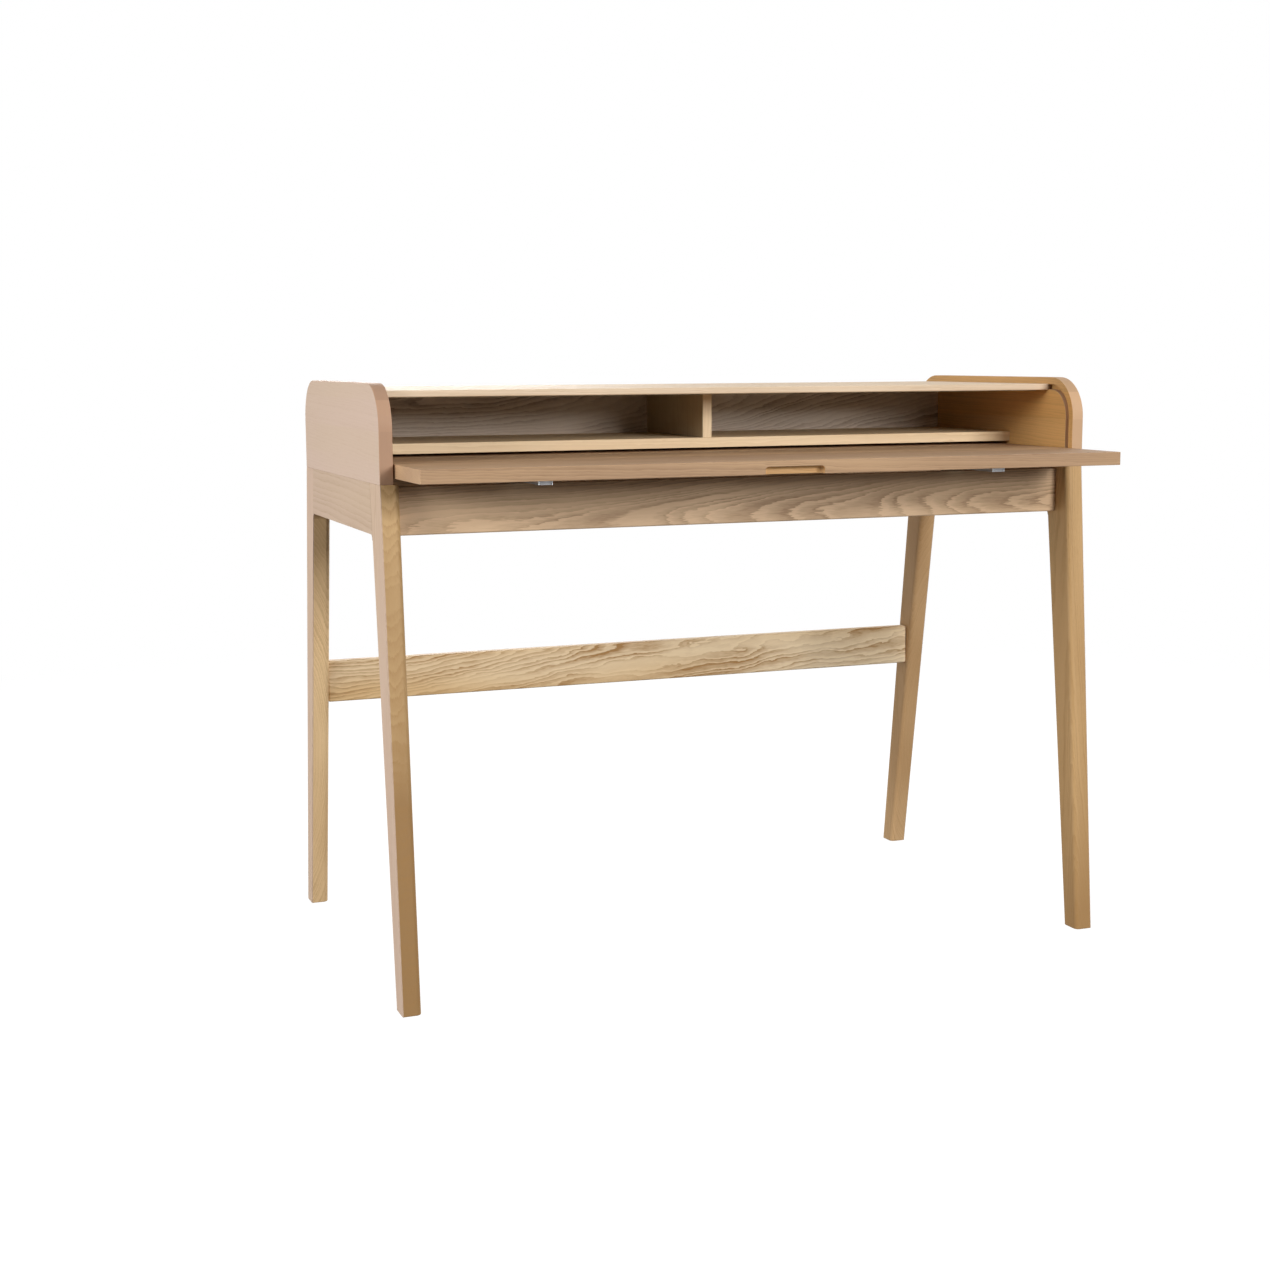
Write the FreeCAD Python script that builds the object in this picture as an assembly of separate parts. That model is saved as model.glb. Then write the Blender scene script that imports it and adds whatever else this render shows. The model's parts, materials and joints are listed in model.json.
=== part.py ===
"""Tambour desk: rounded side panels on splayed legs, a slatted roll top, a small
shelf with a divider behind it and a writing surface that slides out on ball runners.

Millimetres.  X is the width, Y runs from the sitter to the back, Z is up.
The shapes are drawn from the front face of the side panels (Y = 0) and moved at
the end so that the origin lies under the middle of the desk, on the floor.
"""

import FreeCAD, Part
import math
import os

os.makedirs("parts", exist_ok=True)

V = FreeCAD.Vector

# ---------------------------------------------------------------- carcass
DESK_WIDTH = 1100.0
DESK_HEIGHT = 850.0
PANEL_HEIGHT = 134.0          # the side panels stand on the leg frames
PANEL_THICKNESS = 19.0
PANEL_EDGE_CHAMFER = 1.0

# ---------------------------------------------------------------- tambour track
GROOVE_INSET = 15.0           # groove centreline in from the panel outline
GROOVE_RADIUS = 45.0          # centreline of the bends
GROOVE_WIDTH = 7.7
GROOVE_DEPTH = 8.0
GROOVE_TAIL = 8.0             # groove runs on past the lowest slat
BEND = math.pi / 2

# ---------------------------------------------------------------- tambour
BEND_PITCHES = 4              # slat pitches round one bend of the track
TOP_PITCHES = 20              # slat pitches along the straight top of the track
BACK_PITCHES = 4              # slats hanging below the rear bend when open
CLOSING_PITCHES = 7           # the curtain travels this many pitches to close
FRONT_PITCHES = CLOSING_PITCHES - BEND_PITCHES
SLAT_THICKNESS = 9.4
SLAT_GAP = 0.5
SLAT_EDGE_CHAMFER = 0.8
TONGUE_THICKNESS = 6.6
TONGUE_WIDTH = 9.0
CURTAIN_END_GAP = 0.5         # slat shoulders to the inner faces of the panels
TONGUE_END_GAP = 0.5
LEAD_EDGE_RADIUS = 1.6
LEAD_REST_GAP = 1.0           # closed lead rail above the writing surface
CANVAS_THICKNESS = 0.6
CANVAS_MARGIN = 22.0          # canvas stops short of the slat shoulders
CANVAS_SIDE_GAP = 0.4

# ---------------------------------------------------------------- leg frames
LEG_THICKNESS = 27.5
LEG_EDGE_RADIUS = 8.0         # inner front edge of every leg
FRONT_SPLAY = 62.0            # front foot stands this far ahead of the panel
BACK_SPLAY = 86.0             # rear foot stands this far behind the panel
FRONT_LEG_TOP_DEPTH = 57.0
FRONT_LEG_FOOT_DEPTH = 31.0
BACK_LEG_TOP_DEPTH = 50.0
BACK_LEG_FOOT_DEPTH = 30.0
RAIL_HEIGHT = 70.0
RAIL_CORNER_RADIUS = 8.0      # hollow corner where a side rail meets a leg
RAIL_CORNER_LIP = 0.8

# ---------------------------------------------------------------- cross rails
APRON_DROP = 71.0             # underside below the foot of the side panels
APRON_THICKNESS = 18.0
APRON_SETBACK = 28.0          # front apron behind the front of the side panels
APRON_EDGE_CHAMFER = 1.5
APRON_SLIDE_GAP = 1.0         # apron top below the runners that pass over it
BACK_APRON_INSET = 18.4       # rear face of the back apron to the panel back
STRETCHER_TOP = 406.0
STRETCHER_HEIGHT = 66.0
STRETCHER_THICKNESS = 18.0
STRETCHER_EDGE_RADIUS = 2.5
STRETCHER_END_CHAMFER = 2.0

# ---------------------------------------------------------------- writing surface
WORKTOP_RISE = 27.0           # its top above the foot of the side panels
WORKTOP_THICKNESS = 19.0
WORKTOP_DEPTH = 395.0
WORKTOP_SIDE_GAP = 2.5
WORKTOP_PULL = 129.0          # how far it stands pulled out
WORKTOP_EDGE_RADIUS = 0.8
COVE_LENGTH = 90.0
COVE_DEPTH = 13.0
COVE_HEIGHT = 11.0
COVE_END_RADIUS = 9.0
COVE_ROOF_RADIUS = 5.0

# ---------------------------------------------------------------- interior
SHELF_THICKNESS = 15.0
SHELF_ABOVE_WORKTOP = 4.5
SHELF_SETBACK = 175.0
DIVIDER_THICKNESS = 15.0
DIVIDER_TOP_GAP = 0.5
DIVIDER_SETBACK = 1.0
BACK_PANEL_FRONT = 404.0
BACK_PANEL_THICKNESS = 8.0

# ---------------------------------------------------------------- ball runners
RUNNER_X = 347.0
RUNNER_LENGTH = 350.0
RUNNER_HEIGHT = 12.0          # from its bearer to the underside of the top
RUNNER_SETBACK = 41.0         # moving member behind the front edge of the top
RUNNER_START_GAP = 2.0        # fixed member behind the apron
OUTER_WIDTH = 27.0
INNER_WIDTH = 20.0
RUNNER_METAL_THICKNESS = 1.2
OUTER_FLANGE = 9.5
CAGE_METAL_THICKNESS = 0.6
CAGE_LENGTH = 150.0
CAGE_LIFT = 2.0               # cage web above the web of the fixed member
CAGE_WALL = 5.3
INNER_FLANGE_GAP = 0.4        # moving flange above the cage web
BALL_RADIUS = 0.85
BALLS_PER_SIDE = 3
BEARER_WIDTH = 34.0
BEARER_HEIGHT = 46.0
SCREW_HEAD_RADIUS = 3.5
SCREW_HEAD_HEIGHT = 1.2
SCREW_RADIUS = 1.75
SCREW_LENGTH = 13.0
SCREW_END_MARGIN = 30.0
HOLE_GAP = 0.1                # round every screw and tenon

# ---------------------------------------------------------------- loose tenons
TENON_THICKNESS = 8.0
TENON_WIDTH = 24.0
TENON_REACH = 15.0            # into each of the two pieces
TENON_END_GAP = 0.5           # glue room at each end of a tenon
TALL_TENON_WIDTH = 40.0       # aprons, stretcher and side rails
LEG_TENON_REACH = 12.0        # cross rails into the legs
SHELF_TENON_REACH = 10.0      # shelf into the side panels
TENON_INSET = 46.0            # end tenons of a row in from the ends of the joint
REAR_TENON_SHIFT = 2.6        # keeps the rearmost panel tenon inside the rear leg
RAIL_TENON_OUT = 8.0          # middle of a side rail tenon in from the outer face

# ---------------------------------------------------------------- derived
HALF_WIDTH = DESK_WIDTH / 2
INNER_FACE = HALF_WIDTH - PANEL_THICKNESS
LEG_INNER_FACE = HALF_WIDTH - LEG_THICKNESS
CORNER_RADIUS = GROOVE_RADIUS + GROOVE_INSET
PITCH = BEND * GROOVE_RADIUS / BEND_PITCHES
TOP_RUN = TOP_PITCHES * PITCH
PANEL_DEPTH = TOP_RUN + 2 * CORNER_RADIUS
PANEL_BOTTOM = DESK_HEIGHT - PANEL_HEIGHT
RAIL_BOTTOM = PANEL_BOTTOM - RAIL_HEIGHT
APRON_BOTTOM = PANEL_BOTTOM - APRON_DROP
WORKTOP_TOP = PANEL_BOTTOM + WORKTOP_RISE
BEND_HEIGHT = DESK_HEIGHT - CORNER_RADIUS
FRONT_BEND_Y = CORNER_RADIUS
BACK_BEND_Y = PANEL_DEPTH - CORNER_RADIUS
TRACK_HEIGHT = DESK_HEIGHT - GROOVE_INSET
BEND_RUN = BEND_PITCHES * PITCH
HALF_STEP = BEND / BEND_PITCHES / 2
WORKTOP_UNDERSIDE = WORKTOP_TOP - WORKTOP_THICKNESS
BEARER_TOP = WORKTOP_UNDERSIDE - RUNNER_HEIGHT
APRON_TOP = BEARER_TOP - APRON_SLIDE_GAP
SHELF_UNDERSIDE = WORKTOP_TOP + SHELF_ABOVE_WORKTOP
SHELF_TOP = SHELF_UNDERSIDE + SHELF_THICKNESS
CURTAIN_UNDERSIDE = TRACK_HEIGHT - SLAT_THICKNESS / 2 - CANVAS_THICKNESS
BACK_APRON_FRONT = PANEL_DEPTH - BACK_APRON_INSET - APRON_THICKNESS
STRETCHER_BOTTOM = STRETCHER_TOP - STRETCHER_HEIGHT
SLAT_COUNT = TOP_PITCHES + BEND_PITCHES - 1 + BACK_PITCHES
CLOSED_LEAD_EDGE = BEND_HEIGHT - (FRONT_PITCHES - 0.5) * PITCH
LEAD_EXTRA = CLOSED_LEAD_EDGE - WORKTOP_TOP - LEAD_REST_GAP
DESK_MIDDLE_Y = (PANEL_DEPTH + BACK_SPLAY - max(WORKTOP_PULL, FRONT_SPLAY)) / 2


# ---------------------------------------------------------------- shape helpers
def block(x0, x1, y0, y1, z0, z1):
    """Square-edged board between two corners."""
    return Part.makeBox(x1 - x0, y1 - y0, z1 - z0, V(x0, y0, z0))


def side_profile(edges, x0, x1):
    """Extrude a closed chain of edges, drawn in the side view, across the width."""
    face = Part.Face(Part.Wire(Part.__sortEdges__(edges)))
    solid = face.extrude(V(x1 - x0, 0, 0))
    solid.translate(V(x0, 0, 0))
    return solid


def line(start, end):
    """Straight edge in the side view between two (Y, Z) points."""
    return Part.LineSegment(V(0, *start), V(0, *end)).toShape()


def arc(centre, radius, start_angle, end_angle):
    """Arc in the side view; angles are measured from +Y towards +Z."""
    points = []
    for angle in (start_angle, (start_angle + end_angle) / 2, end_angle):
        points.append(V(0, centre[0] + radius * math.cos(angle), centre[1] + radius * math.sin(angle)))
    return Part.Arc(*points).toShape()


def polygon(points, x0, x1):
    """Straight-sided profile in the side view, extruded across the width."""
    edges = [line(points[i - 1], points[i]) for i in range(len(points))]
    return side_profile(edges, x0, x1)


def mirrored(shape):
    """The same piece for the other side of the desk."""
    return shape.mirror(V(0, 0, 0), V(1, 0, 0))


def rounded(shape, radius, wanted):
    """Fillet the edges that the test picks out."""
    return shape.makeFillet(radius, [edge for edge in shape.Edges if wanted(edge)])


def runs_along(edge, axis):
    """True for a straight edge along one of the three axes."""
    direction = edge.Vertexes[-1].Point - edge.Vertexes[0].Point
    return edge.Length > 0 and abs(abs(direction.dot(axis)) - edge.Length) < edge.Length * 1e-6


def chamfered(shape, size, wanted):
    """Chamfer the edges that the test picks out."""
    return shape.makeChamfer(size, [edge for edge in shape.Edges if wanted(edge)])


def pin(radius, length, base, direction):
    """Round pin from its base centre."""
    return Part.makeCylinder(radius, length, base, direction)


def holes_for(pins):
    """The holes that a group of screws sits in, a little wider and deeper."""
    holes = []
    for radius, length, base, direction in pins:
        start = base - direction * TENON_END_GAP
        holes.append(pin(radius + HOLE_GAP, length + 2 * TENON_END_GAP, start, direction))
    return Part.makeCompound(holes)


def tenon(centre, size):
    """Loose tenon: a small board about its centre."""
    low = centre - size / 2
    return Part.makeBox(size.x, size.y, size.z, low)


def mortises(tenons):
    """The pockets that a group of tenons sits in, a little larger all round."""
    pockets = []
    for centre, size, along in tenons:
        room = V(2 * HOLE_GAP, 2 * HOLE_GAP, 2 * HOLE_GAP) + along * 2 * (TENON_END_GAP - HOLE_GAP)
        pockets.append(tenon(centre, size + room))
    return Part.makeCompound(pockets)


def export(name, shape):
    """Move a piece to the desk's own origin and write it."""
    moved = shape.copy()
    moved.translate(V(0, -DESK_MIDDLE_Y, 0))
    moved.exportStep("parts/" + name + ".step")


# ---------------------------------------------------------------- leg outlines
def between(start, end, height):
    """Point on a leg edge that runs straight from the floor to the panel."""
    return start + (end - start) * height / PANEL_BOTTOM


def front_leg_front(height):
    return between(-FRONT_SPLAY, 0, height)


def front_leg_back(height):
    return between(FRONT_LEG_FOOT_DEPTH - FRONT_SPLAY, FRONT_LEG_TOP_DEPTH, height)


def back_leg_front(height):
    foot = PANEL_DEPTH + BACK_SPLAY - BACK_LEG_FOOT_DEPTH
    return between(foot, PANEL_DEPTH - BACK_LEG_TOP_DEPTH, height)


def back_leg_back(height):
    return between(PANEL_DEPTH + BACK_SPLAY, PANEL_DEPTH, height)


# ---------------------------------------------------------------- tenon layout
ALONG_X = V(1, 0, 0)
ALONG_Y = V(0, 1, 0)
ALONG_Z = V(0, 0, 1)


def panel_tenons():
    """Upright tenons that hold a right side panel on its leg frame."""
    size = V(TENON_THICKNESS, TENON_WIDTH, 2 * TENON_REACH)
    x = HALF_WIDTH - PANEL_THICKNESS / 2
    first = FRONT_LEG_TOP_DEPTH / 2
    last = PANEL_DEPTH - BACK_LEG_TOP_DEPTH + TENON_WIDTH / 2 + REAR_TENON_SHIFT
    spots = (first, first + 2 * TENON_INSET, last - 2 * TENON_INSET, last)
    return [(V(x, y, PANEL_BOTTOM), size, ALONG_Z) for y in spots]


def cross_tenon(y, height):
    """Tenon across the joint between a cross rail and a right leg."""
    length = TENON_REACH + LEG_TENON_REACH
    x = LEG_INNER_FACE - TENON_REACH + length / 2
    return [(V(x, y, height), V(length, TENON_THICKNESS, TALL_TENON_WIDTH), ALONG_X)]


def front_apron_tenons():
    return cross_tenon(APRON_SETBACK + APRON_THICKNESS / 2, (APRON_BOTTOM + APRON_TOP) / 2)


def back_apron_tenons():
    return cross_tenon(BACK_APRON_FRONT + APRON_THICKNESS / 2, (APRON_BOTTOM + APRON_TOP) / 2)


def stretcher_middle():
    """Depth at which the stretcher is centred in the rear legs."""
    height = STRETCHER_TOP - STRETCHER_HEIGHT / 2
    return (back_leg_front(height) + back_leg_back(height)) / 2


def stretcher_tenons():
    return cross_tenon(stretcher_middle(), STRETCHER_TOP - STRETCHER_HEIGHT / 2)


def side_rail_tenons():
    """Tenons along the depth, from a right side rail into both its legs."""
    x = HALF_WIDTH - RAIL_TENON_OUT
    z = RAIL_BOTTOM + TENON_REACH / 2 + TENON_WIDTH / 2
    size = V(TENON_THICKNESS, 2 * TENON_REACH, TENON_WIDTH)
    return [(V(x, joint, z), size, ALONG_Y) for joint in (front_leg_back(z), back_leg_front(z))]


def shelf_tenons():
    """Flat tenons between the shelf and the right side panel."""
    length = TENON_REACH + SHELF_TENON_REACH
    x = INNER_FACE - TENON_REACH + length / 2
    z = SHELF_UNDERSIDE + SHELF_THICKNESS / 2
    size = V(length, TENON_WIDTH, TENON_THICKNESS)
    spots = (SHELF_SETBACK + TENON_INSET, BACK_PANEL_FRONT - TENON_INSET)
    return [(V(x, y, z), size, ALONG_X) for y in spots]


def tenon_set(tenons):
    """The right-hand tenons of a joint and their mirror images, as one group."""
    right = Part.makeCompound([tenon(centre, size) for centre, size, along in tenons])
    return Part.makeCompound([right, mirrored(right)])


# ---------------------------------------------------------------- leg frames
def front_leg():
    """Right front leg: tapered, raked forward, inner front edge rounded."""
    outline = [
        (front_leg_front(0), 0),
        (front_leg_back(0), 0),
        (front_leg_back(PANEL_BOTTOM), PANEL_BOTTOM),
        (front_leg_front(PANEL_BOTTOM), PANEL_BOTTOM),
    ]
    leg = polygon(outline, LEG_INNER_FACE, HALF_WIDTH)
    leg = rounded(leg, LEG_EDGE_RADIUS, lambda e: is_inner_front_edge(e, front_leg_front))
    return leg.cut(mortises(panel_tenons() + front_apron_tenons() + side_rail_tenons()))


def back_leg():
    """Right rear leg: tapered, raked backward, inner front edge rounded."""
    outline = [
        (back_leg_front(0), 0),
        (back_leg_back(0), 0),
        (back_leg_back(PANEL_BOTTOM), PANEL_BOTTOM),
        (back_leg_front(PANEL_BOTTOM), PANEL_BOTTOM),
    ]
    leg = polygon(outline, LEG_INNER_FACE, HALF_WIDTH)
    leg = rounded(leg, LEG_EDGE_RADIUS, lambda e: is_inner_front_edge(e, back_leg_front))
    tenons = panel_tenons() + back_apron_tenons() + stretcher_tenons() + side_rail_tenons()
    return leg.cut(mortises(tenons))


def is_inner_front_edge(edge, front_line):
    """True for the long edge between a leg's inner face and its front face."""
    middle = edge.CenterOfMass
    on_face = abs(middle.x - LEG_INNER_FACE) < HOLE_GAP
    on_front = abs(middle.y - front_line(middle.z)) < HOLE_GAP
    return on_face and on_front and edge.Length > PANEL_BOTTOM / 2


def side_rail():
    """Right side rail, flush with its legs, with hollow corners under both ends."""
    low = RAIL_BOTTOM - RAIL_CORNER_RADIUS
    front_tip = (front_leg_back(low) + RAIL_CORNER_LIP, low)
    back_tip = (back_leg_front(low) - RAIL_CORNER_LIP, low)
    front_end = (front_tip[0] + RAIL_CORNER_RADIUS, RAIL_BOTTOM)
    back_end = (back_tip[0] - RAIL_CORNER_RADIUS, RAIL_BOTTOM)
    edges = [
        line((front_leg_back(low), low), (front_leg_back(PANEL_BOTTOM), PANEL_BOTTOM)),
        line((front_leg_back(PANEL_BOTTOM), PANEL_BOTTOM), (back_leg_front(PANEL_BOTTOM), PANEL_BOTTOM)),
        line((back_leg_front(PANEL_BOTTOM), PANEL_BOTTOM), (back_leg_front(low), low)),
        line((back_leg_front(low), low), back_tip),
        arc((back_end[0], low), RAIL_CORNER_RADIUS, 0, BEND),
        line(back_end, front_end),
        arc((front_end[0], low), RAIL_CORNER_RADIUS, BEND, 2 * BEND),
        line(front_tip, (front_leg_back(low), low)),
    ]
    rail = side_profile(edges, LEG_INNER_FACE, HALF_WIDTH)
    return rail.cut(mortises(panel_tenons() + side_rail_tenons()))


def both_ends(tenons):
    """Mortises for a set of tenons at both ends of a piece."""
    right = mortises(tenons)
    return Part.makeCompound([right, mirrored(right)])


def apron(front, tenons):
    """Rail between two legs under the writing surface, its lower edges eased."""
    rail = block(-LEG_INNER_FACE, LEG_INNER_FACE, front, front + APRON_THICKNESS, APRON_BOTTOM, APRON_TOP)
    rail = chamfered(rail, APRON_EDGE_CHAMFER,
                     lambda e: runs_along(e, ALONG_X) and e.CenterOfMass.z < APRON_BOTTOM + HOLE_GAP)
    return rail.cut(both_ends(tenons))


def stretcher():
    """Low rail between the rear legs, rounded along its edges and relieved at its ends."""
    front = stretcher_middle() - STRETCHER_THICKNESS / 2
    rail = block(-LEG_INNER_FACE, LEG_INNER_FACE, front, front + STRETCHER_THICKNESS,
                 STRETCHER_BOTTOM, STRETCHER_TOP)
    rail = rounded(rail, STRETCHER_EDGE_RADIUS, lambda e: runs_along(e, ALONG_X))
    rail = chamfered(rail, STRETCHER_END_CHAMFER,
                     lambda e: runs_along(e, ALONG_Z) and e.CenterOfMass.y < front + HOLE_GAP)
    return rail.cut(both_ends(stretcher_tenons()))


# ---------------------------------------------------------------- side panels
def groove_band():
    """Outline of the tambour groove in the side view: up, over the top and down."""
    outer = GROOVE_RADIUS + GROOVE_WIDTH / 2
    inner = GROOVE_RADIUS - GROOVE_WIDTH / 2
    front_end = WORKTOP_TOP - GROOVE_TAIL
    rear_end = PANEL_BOTTOM - GROOVE_TAIL
    front = (FRONT_BEND_Y, BEND_HEIGHT)
    rear = (BACK_BEND_Y, BEND_HEIGHT)
    return [
        line((FRONT_BEND_Y - outer, front_end), (FRONT_BEND_Y - outer, BEND_HEIGHT)),
        arc(front, outer, 2 * BEND, BEND),
        line((FRONT_BEND_Y, BEND_HEIGHT + outer), (BACK_BEND_Y, BEND_HEIGHT + outer)),
        arc(rear, outer, BEND, 0),
        line((BACK_BEND_Y + outer, BEND_HEIGHT), (BACK_BEND_Y + outer, rear_end)),
        line((BACK_BEND_Y + outer, rear_end), (BACK_BEND_Y + inner, rear_end)),
        line((BACK_BEND_Y + inner, rear_end), (BACK_BEND_Y + inner, BEND_HEIGHT)),
        arc(rear, inner, 0, BEND),
        line((BACK_BEND_Y, BEND_HEIGHT + inner), (FRONT_BEND_Y, BEND_HEIGHT + inner)),
        arc(front, inner, BEND, 2 * BEND),
        line((FRONT_BEND_Y - inner, BEND_HEIGHT), (FRONT_BEND_Y - inner, front_end)),
        line((FRONT_BEND_Y - inner, front_end), (FRONT_BEND_Y - outer, front_end)),
    ]


def side_panel():
    """Right side panel with both top corners rounded and the track in its inner face."""
    edges = [
        line((0, PANEL_BOTTOM), (0, BEND_HEIGHT)),
        arc((FRONT_BEND_Y, BEND_HEIGHT), CORNER_RADIUS, 2 * BEND, BEND),
        line((FRONT_BEND_Y, DESK_HEIGHT), (BACK_BEND_Y, DESK_HEIGHT)),
        arc((BACK_BEND_Y, BEND_HEIGHT), CORNER_RADIUS, BEND, 0),
        line((PANEL_DEPTH, BEND_HEIGHT), (PANEL_DEPTH, PANEL_BOTTOM)),
        line((PANEL_DEPTH, PANEL_BOTTOM), (0, PANEL_BOTTOM)),
    ]
    panel = side_profile(edges, INNER_FACE, HALF_WIDTH)
    panel = chamfered(panel, PANEL_EDGE_CHAMFER, is_outline_edge)
    groove = side_profile(groove_band(), INNER_FACE, INNER_FACE + GROOVE_DEPTH)
    return panel.cut(groove).cut(mortises(panel_tenons() + shelf_tenons()))


def is_outline_edge(edge):
    """True for the outer face's rim above the leg frame."""
    middle = edge.CenterOfMass
    box = edge.BoundBox
    return abs(middle.x - HALF_WIDTH) < HOLE_GAP and box.ZMax > PANEL_BOTTOM + HOLE_GAP


# ---------------------------------------------------------------- interior
def shelf():
    board = block(-INNER_FACE, INNER_FACE, SHELF_SETBACK, BACK_PANEL_FRONT, SHELF_UNDERSIDE, SHELF_TOP)
    return board.cut(both_ends(shelf_tenons()))


def divider():
    half = DIVIDER_THICKNESS / 2
    return block(-half, half, SHELF_SETBACK + DIVIDER_SETBACK, BACK_PANEL_FRONT,
                 SHELF_TOP, CURTAIN_UNDERSIDE - DIVIDER_TOP_GAP)


def back_panel():
    return block(-INNER_FACE, INNER_FACE, BACK_PANEL_FRONT, BACK_PANEL_FRONT + BACK_PANEL_THICKNESS,
                 PANEL_BOTTOM, CURTAIN_UNDERSIDE - DIVIDER_TOP_GAP)


# ---------------------------------------------------------------- writing surface
def worktop():
    """Sliding writing surface with a finger cove under the middle of its front edge."""
    half = INNER_FACE - WORKTOP_SIDE_GAP
    board = block(-half, half, -WORKTOP_PULL, WORKTOP_DEPTH - WORKTOP_PULL, WORKTOP_UNDERSIDE, WORKTOP_TOP)
    board = rounded(board, WORKTOP_EDGE_RADIUS, lambda e: e.CenterOfMass.y < HOLE_GAP - WORKTOP_PULL)
    return board.cut(cove()).cut(holes_for(worktop_screws()))


def cove():
    """Finger cove: round-ended in plan, its roof rolled over at the back."""
    half = COVE_LENGTH / 2
    front = -WORKTOP_PULL
    hollow = block(-half, half, front - COVE_DEPTH, front + COVE_DEPTH,
                   WORKTOP_UNDERSIDE - COVE_HEIGHT, WORKTOP_UNDERSIDE + COVE_HEIGHT)
    hollow = rounded(hollow, COVE_END_RADIUS, lambda e: runs_along(e, ALONG_Z))
    return rounded(hollow, COVE_ROOF_RADIUS, is_cove_roof)


def is_cove_roof(edge):
    """True for the edges round the cove's roof."""
    return edge.CenterOfMass.z > WORKTOP_UNDERSIDE + COVE_HEIGHT - HOLE_GAP


# ---------------------------------------------------------------- ball runners
def fixed_start():
    """Front end of the fixed runner members, just behind the apron."""
    return APRON_SETBACK + APRON_THICKNESS + RUNNER_START_GAP


def moving_start():
    """Front end of the moving runner members with the top pulled out."""
    return RUNNER_SETBACK - WORKTOP_PULL


def bearer():
    """Right bearer: a rail from apron to apron that carries a runner."""
    board = block(RUNNER_X - BEARER_WIDTH / 2, RUNNER_X + BEARER_WIDTH / 2,
                  APRON_SETBACK + APRON_THICKNESS, BACK_APRON_FRONT,
                  BEARER_TOP - BEARER_HEIGHT, BEARER_TOP)
    return board.cut(holes_for(bearer_screws()))


def channel(width, length, start, web_low, wall_low, wall_high):
    """Folded metal channel lying flat, right of the middle: a web and two walls."""
    left = RUNNER_X - width / 2
    right = RUNNER_X + width / 2
    end = start + length
    metal = RUNNER_METAL_THICKNESS
    web = block(left, right, start, end, web_low, web_low + metal)
    left_wall = block(left, left + metal, start, end, wall_low, wall_high)
    right_wall = block(right - metal, right, start, end, wall_low, wall_high)
    return web.fuse([left_wall, right_wall]).removeSplitter()


def cage_low():
    return BEARER_TOP + RUNNER_METAL_THICKNESS + CAGE_LIFT


def runner_fixed():
    member = channel(OUTER_WIDTH, RUNNER_LENGTH, fixed_start(), BEARER_TOP, BEARER_TOP,
                     BEARER_TOP + OUTER_FLANGE)
    return member.cut(holes_for(bearer_screws()))


def runner_moving():
    wall_low = cage_low() + CAGE_METAL_THICKNESS + INNER_FLANGE_GAP
    member = channel(INNER_WIDTH, RUNNER_LENGTH, moving_start(), WORKTOP_UNDERSIDE - RUNNER_METAL_THICKNESS,
                     wall_low, WORKTOP_UNDERSIDE)
    return member.cut(holes_for(worktop_screws()))


def cage_start():
    """The cage lags half-way: centred between the ends of the two members."""
    fixed_middle = fixed_start() + RUNNER_LENGTH / 2
    moving_middle = moving_start() + RUNNER_LENGTH / 2
    return (fixed_middle + moving_middle - CAGE_LENGTH) / 2


def ball_cage():
    """Right ball cage: a thin channel with a row of rolling elements in each wall."""
    start = cage_start()
    end = start + CAGE_LENGTH
    low = cage_low()
    metal = CAGE_METAL_THICKNESS
    reach = (INNER_WIDTH / 2 + OUTER_WIDTH / 2 - RUNNER_METAL_THICKNESS) / 2
    half = reach + metal / 2
    pieces = [block(RUNNER_X - half, RUNNER_X + half, start, end, low, low + metal)]
    spacing = CAGE_LENGTH / BALLS_PER_SIDE
    for side in (-1, 1):
        middle = RUNNER_X + side * reach
        pieces.append(block(middle - metal / 2, middle + metal / 2, start, end, low, low + CAGE_WALL))
        for index in range(BALLS_PER_SIDE):
            y = start + spacing * (index + 0.5)
            base = V(middle - BALL_RADIUS, y, low + CAGE_WALL - 2 * BALL_RADIUS)
            pieces.append(pin(BALL_RADIUS, 2 * BALL_RADIUS, base, ALONG_X))
    return pieces[0].fuse(pieces[1:])


def screw_stations(start):
    """Depths of the two screws of one runner member."""
    return start + SCREW_END_MARGIN, start + RUNNER_LENGTH - SCREW_END_MARGIN


def bearer_screws():
    """Shanks of the screws that go down through the fixed member."""
    top = BEARER_TOP + RUNNER_METAL_THICKNESS
    length = SCREW_LENGTH
    return [(SCREW_RADIUS, length, V(RUNNER_X, y, top - length), ALONG_Z)
            for y in screw_stations(fixed_start())]


def worktop_screws():
    """Shanks of the screws that go up through the moving member."""
    low = WORKTOP_UNDERSIDE - RUNNER_METAL_THICKNESS
    right = [(SCREW_RADIUS, SCREW_LENGTH, V(RUNNER_X, y, low), ALONG_Z)
             for y in screw_stations(moving_start())]
    left = [(radius, length, V(-base.x, base.y, base.z), direction)
            for radius, length, base, direction in right]
    return right + left


def runner_screws_fixed():
    """Pan-head screws in both bearers."""
    top = BEARER_TOP + RUNNER_METAL_THICKNESS
    screws = []
    for radius, length, base, direction in bearer_screws():
        head = pin(SCREW_HEAD_RADIUS, SCREW_HEAD_HEIGHT, V(base.x, base.y, top), direction)
        screws.append(pin(radius, length, base, direction).fuse(head))
    right = Part.makeCompound(screws)
    return Part.makeCompound([right, mirrored(right)])


def runner_screws_moving():
    """Pan-head screws under the writing surface."""
    low = WORKTOP_UNDERSIDE - RUNNER_METAL_THICKNESS - SCREW_HEAD_HEIGHT
    screws = []
    for radius, length, base, direction in worktop_screws():
        head = pin(SCREW_HEAD_RADIUS, SCREW_HEAD_HEIGHT, V(base.x, base.y, low), direction)
        screws.append(pin(radius, length, base, direction).fuse(head))
    return Part.makeCompound(screws)


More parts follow.
